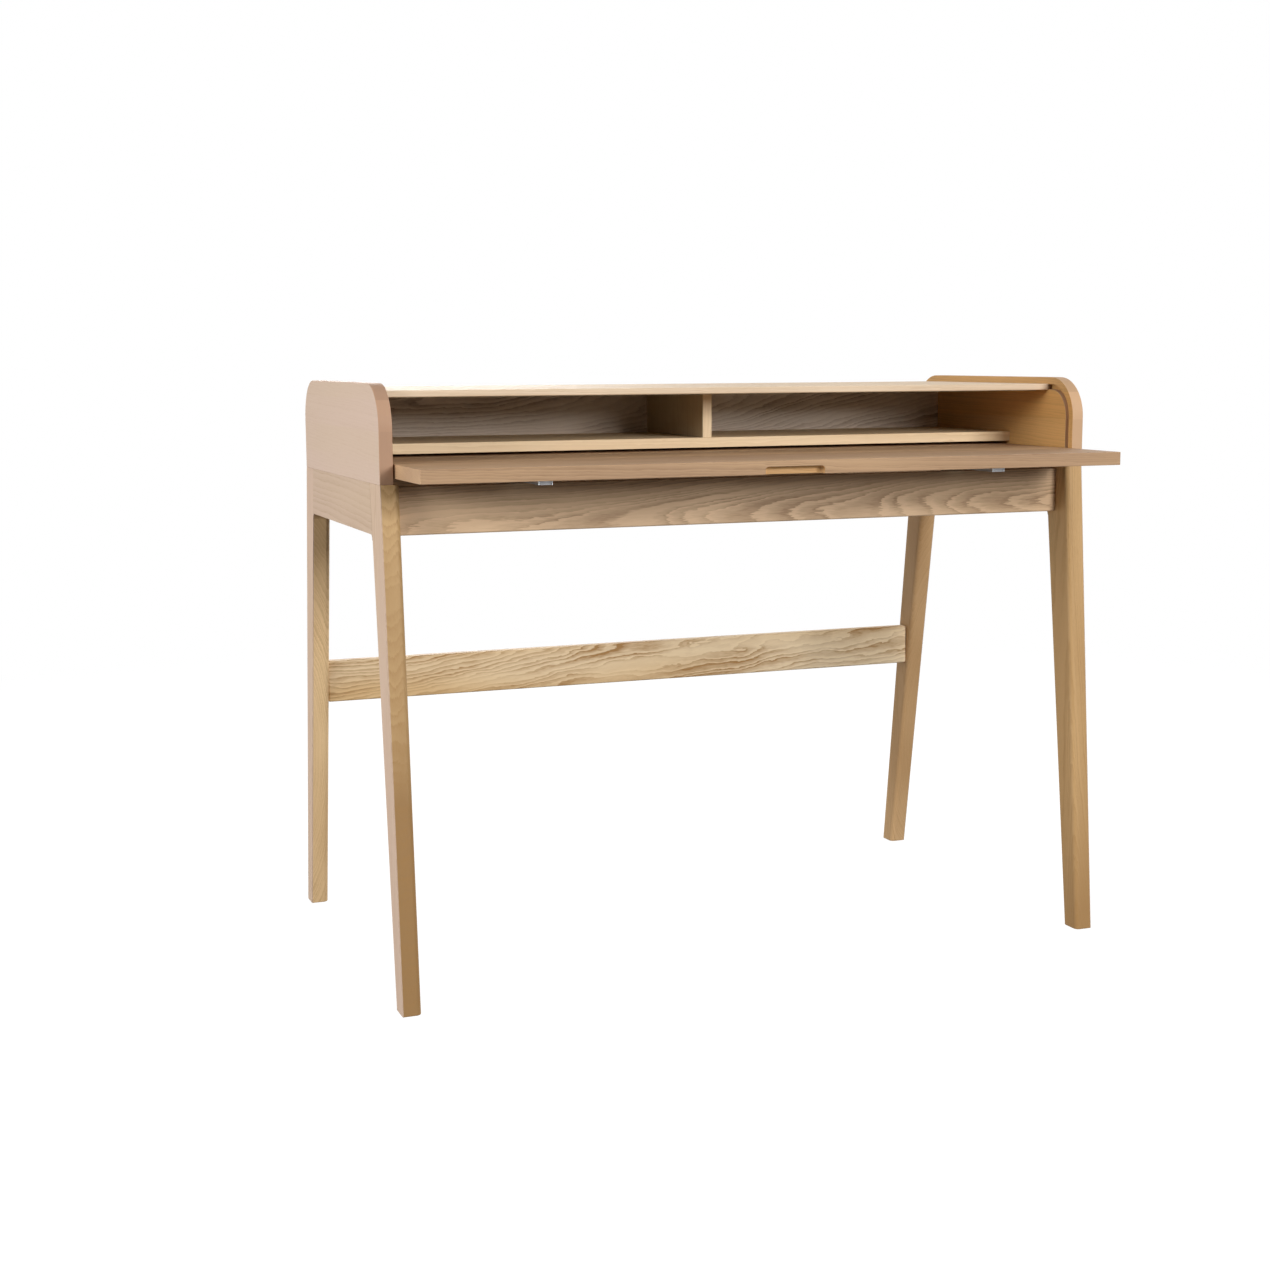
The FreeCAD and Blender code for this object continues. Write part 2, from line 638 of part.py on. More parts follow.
# ---------------------------------------------------------------- tambour
def track_pose(distance):
    """Centre (Y, Z) and tilt about X, in degrees, of a slat on the open track."""
    past_top = distance - TOP_RUN
    if past_top <= 0:
        return FRONT_BEND_Y + distance, TRACK_HEIGHT, 0.0
    if past_top < BEND_RUN:
        angle = past_top / GROOVE_RADIUS
        y = BACK_BEND_Y + GROOVE_RADIUS * math.sin(angle)
        return y, BEND_HEIGHT + GROOVE_RADIUS * math.cos(angle), -math.degrees(angle)
    return BACK_BEND_Y + GROOVE_RADIUS, BEND_HEIGHT - (past_top - BEND_RUN), -90.0


def slat_half_widths():
    """Half widths of a slat at its outer and inner faces, so that bends close cleanly."""
    outer = (PITCH - SLAT_GAP) / 2
    inner = (GROOVE_RADIUS - SLAT_THICKNESS / 2) * math.tan(HALF_STEP) - SLAT_GAP / 3
    return outer, inner


def tongues():
    """The two end tongues that run in the side panel grooves."""
    shoulder = INNER_FACE - CURTAIN_END_GAP
    tip = INNER_FACE + GROOVE_DEPTH - TONGUE_END_GAP
    right = block(shoulder, tip, -TONGUE_WIDTH / 2, TONGUE_WIDTH / 2,
                  -TONGUE_THICKNESS / 2, TONGUE_THICKNESS / 2)
    return [right, mirrored(right)]


def slat():
    """One slat lying flat about the origin, narrower below so that it can turn a bend."""
    outer, inner = slat_half_widths()
    half = SLAT_THICKNESS / 2
    shoulder = INNER_FACE - CURTAIN_END_GAP
    body = polygon([(-inner, -half), (inner, -half), (outer, half), (-outer, half)], -shoulder, shoulder)
    body = chamfered(body, SLAT_EDGE_CHAMFER,
                     lambda e: runs_along(e, ALONG_X) and e.CenterOfMass.z > 0)
    return body.fuse(tongues()).removeSplitter()


def lead_slat():
    """The lead rail: a full-width front edge that meets the writing surface."""
    outer, inner = slat_half_widths()
    half = SLAT_THICKNESS / 2
    front = -PITCH / 2 - LEAD_EXTRA
    shoulder = INNER_FACE - CURTAIN_END_GAP
    body = polygon([(front, -half), (inner, -half), (outer, half), (front, half)], -shoulder, shoulder)
    body = rounded(body, LEAD_EDGE_RADIUS,
                   lambda e: runs_along(e, ALONG_X) and e.CenterOfMass.y < front + HOLE_GAP)
    return body.fuse(tongues()).removeSplitter()


def on_track(shape, index):
    """Copy of a slat-shaped piece at its place on the open track."""
    y, z, tilt = track_pose((index + 1) * PITCH)
    placed = shape.copy()
    placed.rotate(V(0, 0, 0), V(1, 0, 0), tilt)
    placed.translate(V(0, y, z))
    return placed


def slat_group(first, last):
    """A run of slats as separate solids in one group."""
    single = slat()
    placed = [on_track(single, index) for index in range(first, last + 1)]
    return placed[0] if len(placed) == 1 else Part.makeCompound(placed)


def canvas(first, last):
    """Canvas backing glued under a run of slats that lie in one plane."""
    inner_radius = GROOVE_RADIUS - SLAT_THICKNESS / 2 - CANVAS_THICKNESS
    half = inner_radius * math.tan(HALF_STEP) - CANVAS_SIDE_GAP / 2
    reach = INNER_FACE - CURTAIN_END_GAP - CANVAS_MARGIN
    top = -SLAT_THICKNESS / 2
    strip = block(-reach, reach, -half, half + (last - first) * PITCH, top - CANVAS_THICKNESS, top)
    return on_track(strip, first)


# ---------------------------------------------------------------- the desk
def carcass():
    right_and_left = {
        "front_leg": front_leg(),
        "back_leg": back_leg(),
        "side_rail": side_rail(),
        "side_panel": side_panel(),
        "runner_bearer": bearer(),
        "runner_fixed": runner_fixed(),
        "runner_moving": runner_moving(),
        "ball_cage": ball_cage(),
    }
    for name, shape in right_and_left.items():
        export(name + "_right", shape)
        export(name + "_left", mirrored(shape))
    export("front_apron", apron(APRON_SETBACK, front_apron_tenons()))
    export("back_apron", apron(BACK_APRON_FRONT, back_apron_tenons()))
    export("stretcher", stretcher())
    export("shelf", shelf())
    export("divider", divider())
    export("back_panel", back_panel())
    export("worktop", worktop())
    export("runner_screws_fixed", runner_screws_fixed())
    export("runner_screws_moving", runner_screws_moving())
    export("panel_tenons", tenon_set(panel_tenons()))
    export("apron_tenons", tenon_set(front_apron_tenons() + back_apron_tenons()))
    export("stretcher_tenons", tenon_set(stretcher_tenons()))
    export("side_rail_tenons", tenon_set(side_rail_tenons()))
    export("shelf_tenons", tenon_set(shelf_tenons()))


def curtain():
    """The curtain in the runs that keep their shape between open and closed."""
    last_front = FRONT_PITCHES - 1
    first_top = CLOSING_PITCHES - 1
    last_top = TOP_PITCHES - 1
    first_back = last_top + BEND_PITCHES
    export("tambour_lead_rail", on_track(lead_slat(), 0))
    export("tambour_slats_front", slat_group(1, last_front))
    export("tambour_canvas_front", canvas(0, last_front))
    for step in range(1, BEND_PITCHES):
        export("tambour_slat_front_" + str(step), slat_group(last_front + step, last_front + step))
        export("tambour_canvas_front_" + str(step), canvas(last_front + step, last_front + step))
        export("tambour_slat_back_" + str(step), slat_group(last_top + step, last_top + step))
        export("tambour_canvas_back_" + str(step), canvas(last_top + step, last_top + step))
    export("tambour_slats_top", slat_group(first_top, last_top))
    export("tambour_canvas_top", canvas(first_top, last_top))
    export("tambour_slats_back", slat_group(first_back, SLAT_COUNT - 1))
    export("tambour_canvas_back", canvas(first_back, SLAT_COUNT - 1))


carcass()
curtain()
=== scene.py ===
"""Looks of the tambour desk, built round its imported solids.

X is the width, Y runs from the sitter to the back, Z is up. Coordinates and the studio's
sizes are metres; the sizes of the desk's own classes are millimetres. Every board is a
copy of its solid with eased edges and its own cut of oak; the tambour's slats, the ball
cages and the screws are made by Geometry Nodes.
"""

import json
import logging
import math
from dataclasses import dataclass, field, replace
from enum import Enum

import bmesh
import bpy
from mathutils import Euler, Matrix, Vector

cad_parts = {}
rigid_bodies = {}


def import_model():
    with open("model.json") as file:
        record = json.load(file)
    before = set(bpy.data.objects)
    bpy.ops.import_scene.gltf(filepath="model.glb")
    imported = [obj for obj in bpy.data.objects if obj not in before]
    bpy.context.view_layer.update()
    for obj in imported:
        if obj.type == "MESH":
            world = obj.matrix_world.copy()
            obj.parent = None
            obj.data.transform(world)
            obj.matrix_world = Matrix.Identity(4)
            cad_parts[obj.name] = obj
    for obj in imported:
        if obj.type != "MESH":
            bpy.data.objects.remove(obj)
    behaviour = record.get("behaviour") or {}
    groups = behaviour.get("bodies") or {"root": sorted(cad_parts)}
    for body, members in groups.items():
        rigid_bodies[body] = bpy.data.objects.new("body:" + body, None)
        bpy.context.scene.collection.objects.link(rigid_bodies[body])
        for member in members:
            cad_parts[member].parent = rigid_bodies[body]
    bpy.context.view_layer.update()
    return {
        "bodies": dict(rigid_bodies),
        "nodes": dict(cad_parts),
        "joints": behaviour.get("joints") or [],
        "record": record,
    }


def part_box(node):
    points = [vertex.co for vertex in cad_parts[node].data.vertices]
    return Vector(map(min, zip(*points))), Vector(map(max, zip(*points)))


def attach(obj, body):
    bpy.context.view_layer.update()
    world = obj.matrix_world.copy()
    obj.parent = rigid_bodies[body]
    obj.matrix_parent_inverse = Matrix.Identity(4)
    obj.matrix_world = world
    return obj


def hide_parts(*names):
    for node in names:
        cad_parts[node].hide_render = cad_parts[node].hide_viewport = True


LOG = logging.getLogger("tambour_desk")
MM = 0.001
MERGE_DISTANCE = 1e-6
FLAT_ANGLE = math.radians(0.6)
SHARP_ANGLE = math.radians(32)
SMOOTH_ANGLE = math.radians(40)
EASE_SEGMENTS = 2
ROUND_PROFILE = 0.5
FLOAT_A, FLOAT_B = 2, 3                       # sockets of a Mix node for plain numbers
COLOUR_A, COLOUR_B, COLOUR_OUT = 6, 7, 2      # its sockets for colours
SIDES = ("left", "right")

Tree = bpy.types.NodeTree
Node = bpy.types.Node
Socket = bpy.types.NodeSocket
Source = Node | Socket                        # a node stands for its first output
Material = bpy.types.Material
Piece = bpy.types.Object
Triple = tuple[float, float, float]


# ---------------------------------------------------------------- small helpers
def linear(code: str) -> tuple[float, float, float, float]:
    """Turn an sRGB hex colour into linear RGBA.

    Args:
        code: colour such as "#d8bf9a".

    Returns:
        Red, green, blue and alpha as linear values.
    """
    channels = [int(code[i:i + 2], 16) / 255 for i in (1, 3, 5)]
    straight = [c / 12.92 if c <= 0.04045 else ((c + 0.055) / 1.055) ** 2.4 for c in channels]
    return (*straight, 1.0)


def add(tree: Tree, kind: str, inputs: dict | None = None, **settings: object) -> Node:
    """Add a node with its settings and links.

    Args:
        tree: node tree that takes the node.
        kind: Blender's name for the node, without "ShaderNode" or "GeometryNode".
        inputs: by name or index, a value, or the source or the list of sources that feed it.
        settings: the node's own properties.

    Returns:
        The new node.
    """
    names = [start + kind for start in ("ShaderNode", "GeometryNode", "")]
    node = tree.nodes.new(next(name for name in names if hasattr(bpy.types, name)))
    for key, value in settings.items():
        setattr(node, key, value)
    for key, value in (inputs or {}).items():
        for source in value if isinstance(value, list) else [value]:
            if isinstance(source, Node):
                source = source.outputs[0]
            if isinstance(source, Socket):
                tree.links.new(source, node.inputs[key])
            else:
                node.inputs[key].default_value = source
    return node


def blank(name: str) -> tuple[Material, Tree]:
    """Make a material without any nodes.

    Args:
        name: the material's name.

    Returns:
        The material and its empty tree.
    """
    made = bpy.data.materials.new(name)
    made.use_nodes = True
    made.node_tree.nodes.clear()
    return made, made.node_tree


def streaks(tree: Tree, place: Source, cells: Triple, detail: float, roughness: float = 0.5,
            start: Triple = (0.0, 0.0, 0.0)) -> Node:
    """Draw noise that is stretched along an axis.

    Args:
        tree: tree that takes the nodes.
        place: coordinates.
        cells: cells per metre along each axis.
        detail: octaves of the noise.
        roughness: how much the finer octaves count.
        start: where in the noise the pattern starts.

    Returns:
        The noise.
    """
    spread = add(tree, "Mapping", {"Vector": place, "Location": start, "Scale": cells})
    return add(tree, "TexNoise",
               {"Vector": spread, "Scale": 1.0, "Detail": detail, "Roughness": roughness})


def seen_rays(tree: Tree) -> tuple[Socket, Node]:
    """Tell rays that show something from rays that only light the desk.

    Args:
        tree: tree that takes the nodes.

    Returns:
        A value that is 1 for the camera's rays, and one that is 1 for reflected rays too.
    """
    rays = add(tree, "LightPath").outputs
    either = add(tree, "Math", {0: rays["Is Camera Ray"], 1: rays["Is Glossy Ray"]},
                 operation="MAXIMUM")
    return rays["Is Camera Ray"], either


def new_object(name: str, data: bpy.types.ID) -> Piece:
    """Link an object to the scene at the origin.

    Args:
        name: name of the object.
        data: its mesh, light or camera.

    Returns:
        The new object.
    """
    made = bpy.data.objects.new(name, data)
    bpy.context.scene.collection.objects.link(made)
    return made


def shaped(name: str, shape: bmesh.types.BMesh) -> Piece:
    """Turn a bmesh into an object and free it.

    Args:
        name: name of the object and of its mesh.
        shape: the finished bmesh.

    Returns:
        The new object.
    """
    mesh = bpy.data.meshes.new(name)
    shape.to_mesh(mesh)
    shape.free()
    return new_object(name, mesh)


def coat(mesh: bpy.types.Mesh, *materials: Material) -> None:
    """Give a mesh these materials and no others.

    Args:
        mesh: the mesh.
        materials: its materials in order.
    """
    mesh.materials.clear()
    for material in materials:
        mesh.materials.append(material)


def frozen(piece: Piece) -> Piece:
    """Replace a piece's mesh by its evaluated one and remove its modifiers.

    Args:
        piece: object whose modifiers are all to be kept in the mesh.

    Returns:
        The same object, now a plain mesh.
    """
    graph = bpy.context.evaluated_depsgraph_get()
    mesh = bpy.data.meshes.new_from_object(piece.evaluated_get(graph), depsgraph=graph)
    piece.modifiers.clear()
    piece.data = mesh
    mesh.name = piece.name
    return piece


# ---------------------------------------------------------------- Geometry Nodes
def open_tree(name: str, counts: tuple[str, ...], sizes: tuple[str, ...],
              places: tuple[str, ...]) -> tuple[Tree, bpy.types.bpy_prop_collection]:
    """Open a Geometry Nodes tree that starts from nothing.

    Args:
        name: name of the tree.
        counts: names of its whole-number inputs.
        sizes: names of its inputs for plain numbers.
        places: names of its inputs with three numbers, apart from "Place", which is always there.

    Returns:
        The tree and its inputs by name.
    """
    tree = bpy.data.node_groups.new(name, "GeometryNodeTree")
    tree.interface.new_socket("Geometry", in_out="OUTPUT", socket_type="NodeSocketGeometry")
    for kind, titles in (("Int", counts), ("Float", sizes), ("Vector", (*places, "Place"))):
        for title in titles:
            tree.interface.new_socket(title, in_out="INPUT", socket_type="NodeSocket" + kind)
    return tree, add(tree, "NodeGroupInput").outputs


def close_tree(tree: Tree, material: Material, placing: dict) -> None:
    """End a tree: place the geometry, realize its instances and set its material.

    Args:
        tree: the tree.
        material: material of all that it makes.
        placing: the finished geometry, its translation and its rotation by input name.
    """
    placed = add(tree, "Transform", placing)
    real = add(tree, "RealizeInstances", {0: placed})
    dressed = add(tree, "SetMaterial", {"Geometry": real, "Material": material})
    add(tree, "NodeGroupOutput", {0: dressed})


def grown(name: str, tree: Tree, values: dict) -> Piece:
    """Grow a mesh from a Geometry Nodes tree and keep it as a plain mesh.

    Args:
        name: name of the new piece.
        tree: the tree, which starts from nothing.
        values: its inputs by name.

    Returns:
        The new object, smooth over its blunt edges.
    """
    piece = new_object(name, bpy.data.meshes.new(name))
    maker = piece.modifiers.new(tree.name, "NODES")
    maker.node_group = tree
    for item in tree.interface.items_tree:
        if item.in_out == "INPUT":
            maker[item.identifier] = values[item.name]
    frozen(piece)
    piece.data.shade_smooth()
    piece.data.set_sharp_from_angle(angle=SMOOTH_ANGLE)
    return piece


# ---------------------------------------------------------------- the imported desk
class Desk:
    """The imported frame: where nodes lie and which body carries them."""

    def __init__(self, frame: dict) -> None:
        """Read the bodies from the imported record.
        """
        self.nodes = frame["nodes"]
        bodies = frame["record"]["behaviour"]["bodies"]
        self.body_of = {node: body for body, members in bodies.items() for node in members}

    def place(self, piece: Piece, node: str, slot: str) -> Piece:
        """Let a piece stand for a node and ride on its body.

        Args:
            piece: finished mesh object.
            node: the node that it stands for.
            slot: the record's material slot; not used.

        Returns:
            The same piece.
        """
        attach(piece, self.body_of[node])
        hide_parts(node)
        LOG.info("%s rides on %s, %d faces", piece.name, self.body_of[node],
                 len(piece.data.polygons))
        return piece

    def eased(self, node: str, name: str, ease: float) -> Piece:
        """Copy a node's solid, join its triangles and round its sharp edges.

        Args:
            node: the node to copy.
            name: name of the new piece.
            ease: width of the rounded edge in millimetres.

        Returns:
            The new object, not yet riding on a body.
        """
        shape = bmesh.new()
        shape.from_mesh(self.nodes[node].data)
        bmesh.ops.remove_doubles(shape, verts=shape.verts, dist=MERGE_DISTANCE)
        bmesh.ops.dissolve_limit(shape, angle_limit=FLAT_ANGLE, verts=shape.verts,
                                 edges=shape.edges)
        piece = shaped(name, shape)
        piece.data.shade_smooth()
        bevel = piece.modifiers.new("ease", "BEVEL")
        bevel.width = ease * MM
        bevel.segments = EASE_SEGMENTS
        bevel.limit_method = "ANGLE"
        bevel.angle_limit = SHARP_ANGLE
        weighted = piece.modifiers.new("flat faces stay flat", "WEIGHTED_NORMAL")
        weighted.keep_sharp = True
        return frozen(piece)


# ---------------------------------------------------------------- oak
# Cells of the noise that draws the wood are per metre, along the fibres and across them.
WANDER_CELLS, WANDER_DETAIL = (1.7, 8.0, 8.0), 2.0
FLAME_CELLS, FLAME_DETAIL = (20.0, 75.0, 75.0), 3.0
WAVER_CELLS, WAVER_DETAIL = (60.0, 700.0, 700.0), 0.0
WAVER = 0.5                      # millimetres that a ring wavers from fibre to fibre
SEED_STEP = (3.7, 1.3, 0.0)      # cells from the rings of one seed to those of the next
BLUSH_CELLS = (1.6, 9.0, 9.0)    # the flushed tone
PATCH_CELLS = (4.0, 28.0, 28.0)  # where the rings show more or less
FIBRE_CELLS = (14.0, 520.0, 520.0)     # drawn wider than real fibres, so that they show
PORE_CELLS = (42.0, 1150.0, 1150.0)    # real pores are 0.3 mm wide, these twice that
BLUSH_RANGE, PATCH_RANGE, PORE_RANGE = (0.32, 0.68), (0.35, 0.65), (0.52, 0.72)
RING_CELLS, RING_SPREAD = 0.45, 1.6    # how unevenly the rings are spaced
RING_PROFILE = ((0.1, 0.9), (0.22, 0.5), (0.55, 0.28), (0.72, 0.0), (0.94, 0.0))
LATEWOOD_PORES = 0.25            # share of the pores that are open in the latewood
FIBRE_SHARE, PORE_SHARE = 0.5, 0.3     # how much they darken the wood
EARLYWOOD_DEPTH = 0.35           # relief of the earlywood, where a pore's is 1
RELIEF, RELIEF_DEPTH = 0.22, 0.25      # strength, and depth in millimetres
PORE_ROUGHNESS = 0.16            # how much rougher a pore is
LACQUER_IOR = 1.5
STAVE_SHIFT = 0.12               # metres by which one stave's log may lie from another's
EVEN_TINT = 0.5                  # the tint of a stave that is neither paler nor darker
BAND_REACH = 1.3                 # above 1, so that the eased edges are covered too


class Grain(Enum):
    """Direction in which the fibres of a board run."""

    ACROSS = 0
    DEEP = 1
    UPRIGHT = 2


@dataclass(frozen=True)
class PaintedLightLayer:
    """Painted light in a layer near one face: paler, pinker daylight or darker shade."""

    pale: str
    dark: str
    flush: str
    side: int                        # side of the board along its thickness: -1 or 1
    thickness: float                 # millimetres


@dataclass(frozen=True)
class Oak:
    """Flat-sawn oak under matt lacquer: pale latewood, browner porous earlywood bands."""

    pale: str
    dark: str
    contrast: float
    flush: str = "#d4b394"           # pinker tone that drifts over the board
    ring: float = 3.4                # millimetres between growth rings
    wander: float = 11.0             # millimetres that the rings stray from true circles
    flame: float = 2.0               # millimetres that a ring flickers in a hand's breadth
    patchy: float = 0.35             # share by which the rings' contrast comes and goes
    pith: tuple[float, float] = (0.0, 55.0)    # millimetres from the middle: aside, behind
    lean: tuple[float, float] = (0.6, 1.6)     # degrees between the log's axis and the board
    rake: float = 0.0                # degrees that a raked leg turns about the width axis X
    stave: float = 0.0               # millimetres, width of the glued staves, 0 for one board
    first_stave: int = 0             # number of the stave at the room's origin
    matching: float = 0.06           # share by which one stave is paler than the next
    fall: float = 0.0                # drift towards the flushed tone per metre of fibre
    band: str | None = None          # tone of the board's edges, the faces that look along neither side of its thickness
    # painted light near one face: paler, pinker daylight on outward faces, darker shade on the
    # divider
    painted_light_face: PaintedLightLayer | None = None
    seed: int = 1
    roughness: float = 0.58
    gloss: float = 0.35

    def turn(self, grain: Grain, size: Vector) -> tuple[Matrix, int, int]:
        """Find how the log lies in a board.

        Args:
            grain: direction of the fibres.
            size: the board's size along X, Y and Z.

        Returns:
            Rotation from log to room, and the indexes of the width and thickness axes.
        """
        along = grain.value
        thick = min((a for a in range(3) if a != along), key=lambda a: size[a])
        wide = 3 - along - thick
        axes = [Vector((float(a == i) for a in range(3))) for i in range(3)]
        base = Matrix((axes[along], axes[wide], axes[along].cross(axes[wide]))).transposed()
        lean = Euler((0.0, math.radians(self.lean[1]), math.radians(self.lean[0]))).to_matrix()
        rake = Matrix.Rotation(math.radians(self.rake), 3, "X")
        return rake @ base @ lean, wide, thick

    def material(self, name: str, box: tuple[Vector, Vector], grain: Grain) -> Material:
        """Cut a board from a log of this oak.

        Args:
            name: the board's name.
            box: lowest and highest corner of the board.
            grain: direction of the fibres.

        Returns:
            The material, whose pattern is fixed to the board's own place.
        """
        low, high = box
        rotation, wide, thick = self.turn(grain, high - low)
        heart = (low + high) / 2
        heart[wide] += self.pith[0] * MM
        heart[thick] += self.pith[1] * MM

        made, tree = blank(name)
        place = add(tree, "TexCoord").outputs["Object"]
        sawn, tint = self.staves(tree, place, wide) if self.stave else (place, None)
        log = add(tree, "Mapping",
                  {"Vector": sawn, "Location": heart, "Rotation": rotation.to_euler()},
                  vector_type="TEXTURE")
        early = self.earlywood(tree, log)
        tones = [linear(self.pale), linear(self.flush), linear(self.dark)]
        if self.painted_light_face:
            tones, outer = self.layered(tree, place, low[thick], high[thick], thick)
            if tint is not None:
                tint = add(tree, "Mix", {0: outer, FLOAT_A: tint, FLOAT_B: EVEN_TINT})
        colour, pores = self.colour(tree, log, early, tones)
        if self.band:
            colour = self.banded(tree, colour, thick)
        if tint is not None:
            level = add(tree, "MapRange",
                        {"Value": tint, "To Min": 1 - self.matching, "To Max": 1 + self.matching})
            colour = add(tree, "VectorMath", {0: colour, "Scale": level}, operation="SCALE")
        height = add(tree, "Math", {0: early, 1: EARLYWOOD_DEPTH, 2: pores},
                     operation="MULTIPLY_ADD")
        bump = add(tree, "Bump",
                   {"Height": height, "Strength": RELIEF, "Distance": RELIEF_DEPTH * MM},
                   invert=True)
        rough = add(tree, "MapRange",
                    {"Value": pores, "To Min": self.roughness,
                     "To Max": self.roughness + PORE_ROUGHNESS})
        shader = add(tree, "BsdfPrincipled",
                     {"Base Color": colour, "Roughness": rough, "Normal": bump, "IOR": LACQUER_IOR,
                      "Specular IOR Level": self.gloss})
        add(tree, "OutputMaterial", {"Surface": shader})
        return made

    def staves(self, tree: Tree, place: Socket, wide: int) -> tuple[Node, Socket]:
        """Shift the log for each glued stave.

        Args:
            tree: the material's nodes.
            place: coordinates in the room.
            wide: index of the axis across the staves.

        Returns:
            The shifted coordinates and a random value for each stave.
        """
        split = add(tree, "SeparateXYZ", {0: place})
        count = add(tree, "Math",
                    {0: split.outputs[wide], 1: 1 / (self.stave * MM), 2: self.first_stave},
                    operation="MULTIPLY_ADD")
        index = add(tree, "Math", {0: count}, operation="FLOOR")
        chance = add(tree, "TexWhiteNoise", {"W": index}, noise_dimensions="1D").outputs
        shift = add(tree, "VectorMath", {0: chance["Color"], "Scale": STAVE_SHIFT},
                    operation="SCALE")
        moved = add(tree, "VectorMath", {0: place, 1: shift}, operation="ADD")
        return moved, chance["Value"]

    def earlywood(self, tree: Tree, log: Node) -> Node:
        """Draw the growth rings: 1 in the porous earlywood, falling to 0 in the latewood.

        Args:
            tree: the material's nodes.
            log: coordinates in the log, X along its axis.

        Returns:
            Value of the earlywood at each point.
        """
        bent = log
        start = tuple(self.seed * step for step in SEED_STEP)
        for reach, cells, detail in ((self.wander, WANDER_CELLS, WANDER_DETAIL),
                                     (self.flame, FLAME_CELLS, FLAME_DETAIL),
                                     (WAVER, WAVER_CELLS, WAVER_DETAIL)):
            drift = streaks(tree, log, cells, detail, start=start)
            centred = add(tree, "VectorMath", {0: drift.outputs["Color"], 1: (0.5, 0.5, 0.5)},
                          operation="SUBTRACT")
            bent = add(tree, "VectorMath", {0: centred, 1: (reach * MM * 2,) * 3, 2: bent},
                       operation="MULTIPLY_ADD")
        flat = add(tree, "VectorMath", {0: bent, 1: (0.0, 1.0, 1.0)}, operation="MULTIPLY")
        radius = add(tree, "VectorMath", {0: flat}, operation="LENGTH")
        rings = add(tree, "Math", {0: radius.outputs["Value"], 1: self.ring * MM},
                    operation="DIVIDE")
        uneven = add(tree, "TexNoise", {"W": rings, "Scale": RING_CELLS, "Detail": 1.0},
                     noise_dimensions="1D")
        spaced = add(tree, "Math", {0: uneven, 1: RING_SPREAD, 2: rings}, operation="MULTIPLY_ADD")
        phase = add(tree, "Math", {0: spaced}, operation="FRACT")
        band = add(tree, "ValToRGB", {0: phase})
        stops = band.color_ramp.elements
        stops[0].position, stops[1].position = 0.0, 1.0
        for at, level in RING_PROFILE:
            stops.new(at).color = (level, level, level, 1.0)
        stops[0].color = stops[-1].color = (1.0, 1.0, 1.0, 1.0)
        return band

    def layered(self, tree: Tree, place: Socket, low: float, high: float,
                thick: int) -> tuple[list[Socket], Node]:
        """Switch to the painted light layer's tones near one face.

        Args:
            tree: the material's nodes.
            place: coordinates in the room.
            low: the board's lower face along its thickness.
            high: its upper face.
            thick: index of the thickness axis.

        Returns:
            The pale, flushed and dark tones, and a value that is 1 in the painted layer.
        """
        painted_layer = self.painted_light_face
        split = add(tree, "SeparateXYZ", {0: place})
        outer = add(tree, "Math",
                    {0: split.outputs[thick], 1: high if painted_layer.side > 0 else low,
                     2: painted_layer.thickness * MM}, operation="COMPARE")
        pairs = ((self.pale, painted_layer.pale), (self.flush, painted_layer.flush), (self.dark, painted_layer.dark))
        tones = [add(tree, "Mix", {0: outer, COLOUR_A: linear(heart), COLOUR_B: linear(painted_tone)},
                     data_type="RGBA").outputs[COLOUR_OUT] for heart, painted_tone in pairs]
        return tones, outer

    def colour(self, tree: Tree, log: Node, early: Node, tones: list) -> tuple[Socket, Node]:
        """Colour the board by its rings, fibres and pores.

        Args:
            tree: the material's nodes.
            log: coordinates in the log, X along its axis.
            early: value of the earlywood.
            tones: pale, flushed and dark tone, each a colour or the socket that gives it.

        Returns:
            The colour, and a value that is 1 in the open pores.
        """
        blush = streaks(tree, log, BLUSH_CELLS, 1.0, start=(self.seed, 0.0, 0.0))
        split = add(tree, "SeparateXYZ", {0: log})
        drift = add(tree, "Math", {0: split.outputs["X"], 1: self.fall, 2: blush},
                    operation="MULTIPLY_ADD")
        share = add(tree, "MapRange",
                    {"Value": drift, "From Min": BLUSH_RANGE[0], "From Max": BLUSH_RANGE[1]})
        fibre = streaks(tree, log, FIBRE_CELLS, 2.0, roughness=0.6)
        pore = streaks(tree, log, PORE_CELLS, 0.0)
        open_pore = add(tree, "MapRange",
                        {"Value": pore, "From Min": PORE_RANGE[0], "From Max": PORE_RANGE[1]})
        porous = add(tree, "MapRange", {"Value": early, "To Min": LATEWOOD_PORES, "To Max": 1.0})
        pores = add(tree, "Math", {0: open_pore, 1: porous}, operation="MULTIPLY")
        streak = add(tree, "Math", {0: fibre, 1: FIBRE_SHARE, 2: early}, operation="MULTIPLY_ADD",
                     use_clamp=True)
        amount = add(tree, "Math", {0: pores, 1: PORE_SHARE, 2: streak}, operation="MULTIPLY_ADD")
        patch = streaks(tree, log, PATCH_CELLS, 1.0, start=(0.0, self.seed, 0.0))
        depth = add(tree, "MapRange",
                    {"Value": patch, "From Min": PATCH_RANGE[0], "From Max": PATCH_RANGE[1],
                     "To Min": self.contrast * (1 - self.patchy),
                     "To Max": self.contrast * (1 + self.patchy)})
        strength = add(tree, "Math", {0: amount, 1: depth}, operation="MULTIPLY", use_clamp=True)
        ground = add(tree, "Mix", {0: share}, data_type="RGBA")
        ringed = add(tree, "Mix", {0: strength, COLOUR_A: ground.outputs[COLOUR_OUT]},
                     data_type="RGBA")
        takers = (ground.inputs[COLOUR_A], ground.inputs[COLOUR_B], ringed.inputs[COLOUR_B])
        for tone, taker in zip(tones, takers):
            if isinstance(tone, Socket):
                tree.links.new(tone, taker)
            else:
                taker.default_value = tone
        return ringed.outputs[COLOUR_OUT], pores

